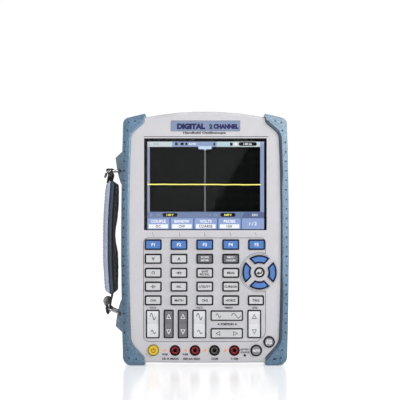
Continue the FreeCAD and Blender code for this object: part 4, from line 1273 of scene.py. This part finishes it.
CAM_X, CAM_Z = CASE_X - 0.0049, 0.1617  # the camera looks straight back from here
DIST = 1.8  # from the camera to the front of the case
SPAN = 0.39  # width of the view there
SENSOR = 36.0
FLOOR_GLOW = 0.42
WHITE = 1.02  # emission strength of the backdrop and the walls
AMBIENT = 0.5
fm = Mat("floor_white")
fm.set(Base_Color=(0.62, 0.62, 0.62), Roughness=0.16, Specular_IOR_Level=0.35,
       Emission_Color=(1, 1, 1), Emission_Strength=FLOOR_GLOW)
plane("floor", [(-8, -8, 0), (8, -8, 0), (8, 2.6, 0), (-8, 2.6, 0)], fm.m)


def card(name, pts, col, power):
    m = Mat(name)
    m.set(Base_Color=(0, 0, 0), Emission_Color=col, Emission_Strength=power, Specular_IOR_Level=0.0)
    return plane(name, pts, m.m)


card("backdrop", [(-3, 2.6, -0.2), (-3, 2.6, 3), (3, 2.6, 3), (3, 2.6, -0.2)], (1, 1, 1), WHITE)


def unlit_by(ob, *rays):
    """Leave a stage piece out of these rays, so that it is only seen, or only mirrored."""
    for r in rays:
        setattr(ob, "visible_" + r, False)


# a white wall round the room that only the camera sees
WALL_R, WALL_H = 7.8, 6.0
for i in range(8):
    a, b = (radians(45 * k + 22.5) for k in (i, i + 1))
    corners = ((a, -0.1), (b, -0.1), (b, WALL_H), (a, WALL_H))
    wall = card("wall_%d" % i, [(WALL_R * cos(t), WALL_R * sin(t), h) for t, h in corners],
                (1, 1, 1), WHITE)
    unlit_by(wall, "diffuse", "glossy", "transmission", "shadow")

world = bpy.data.worlds.new("studio")
scene.world = world
world.use_nodes = True
sky = world.node_tree.nodes["Background"].inputs
sky["Color"].default_value = (0.97, 0.985, 1, 1)
sky["Strength"].default_value = AMBIENT


AIM = Vector((0.0, 0.0, 0.12))


def area(name, pos, size, watts):
    """A square light turned towards AIM."""
    li = bpy.data.lights.new(name, "AREA")
    li.energy = watts
    li.size = size
    ob = link_object(name, li)
    ob.location = pos
    ob.rotation_euler = (AIM - Vector(pos)).to_track_quat("-Z", "Y").to_euler()


area("key_light", (1.25, -0.75, 0.95), 0.55, 17.0)
area("front_light", (-0.25, -1.9, 1.3), 0.5, 14.0)

# what the display window mirrors: a bright card behind the camera, and a black one to the right of a slant
MIRROR = 2.0  # from the front of the case to the cards


def mirrored(x, z):
    """Where behind the camera the window shows its point (x, z), in metres."""
    px, pz = CASE_X + x * MM, z * MM
    k = MIRROR / DIST
    return px + (px - CAM_X) * k, FACE - MIRROR, pz + (pz - CAM_Z) * k


for name, corners, colour, power in (
        ("right", ((63.9, 250), (90, 250), (90, 100), (-23, 100)), (1, 1, 0.95), 0.0),
        ("left", ((-90, 100), (-23, 100), (63.9, 250), (-90, 250)), (1, 1, 1), 1.5)):
    unlit_by(card("mirror_card_" + name, [mirrored(x, z) for x, z in corners], colour, power),
             "camera", "shadow")

cam = bpy.data.cameras.new("camera")
cam_ob = link_object("camera", cam)
scene.camera = cam_ob
cam.sensor_width = SENSOR
cam.lens = SENSOR * DIST / SPAN
cam.clip_end = 50
cam_ob.location = (CAM_X, FACE - DIST, CAM_Z)
cam_ob.rotation_euler = (pi / 2, 0, 0)

scene.view_settings.view_transform = "Standard"
scene.view_settings.look = "None"
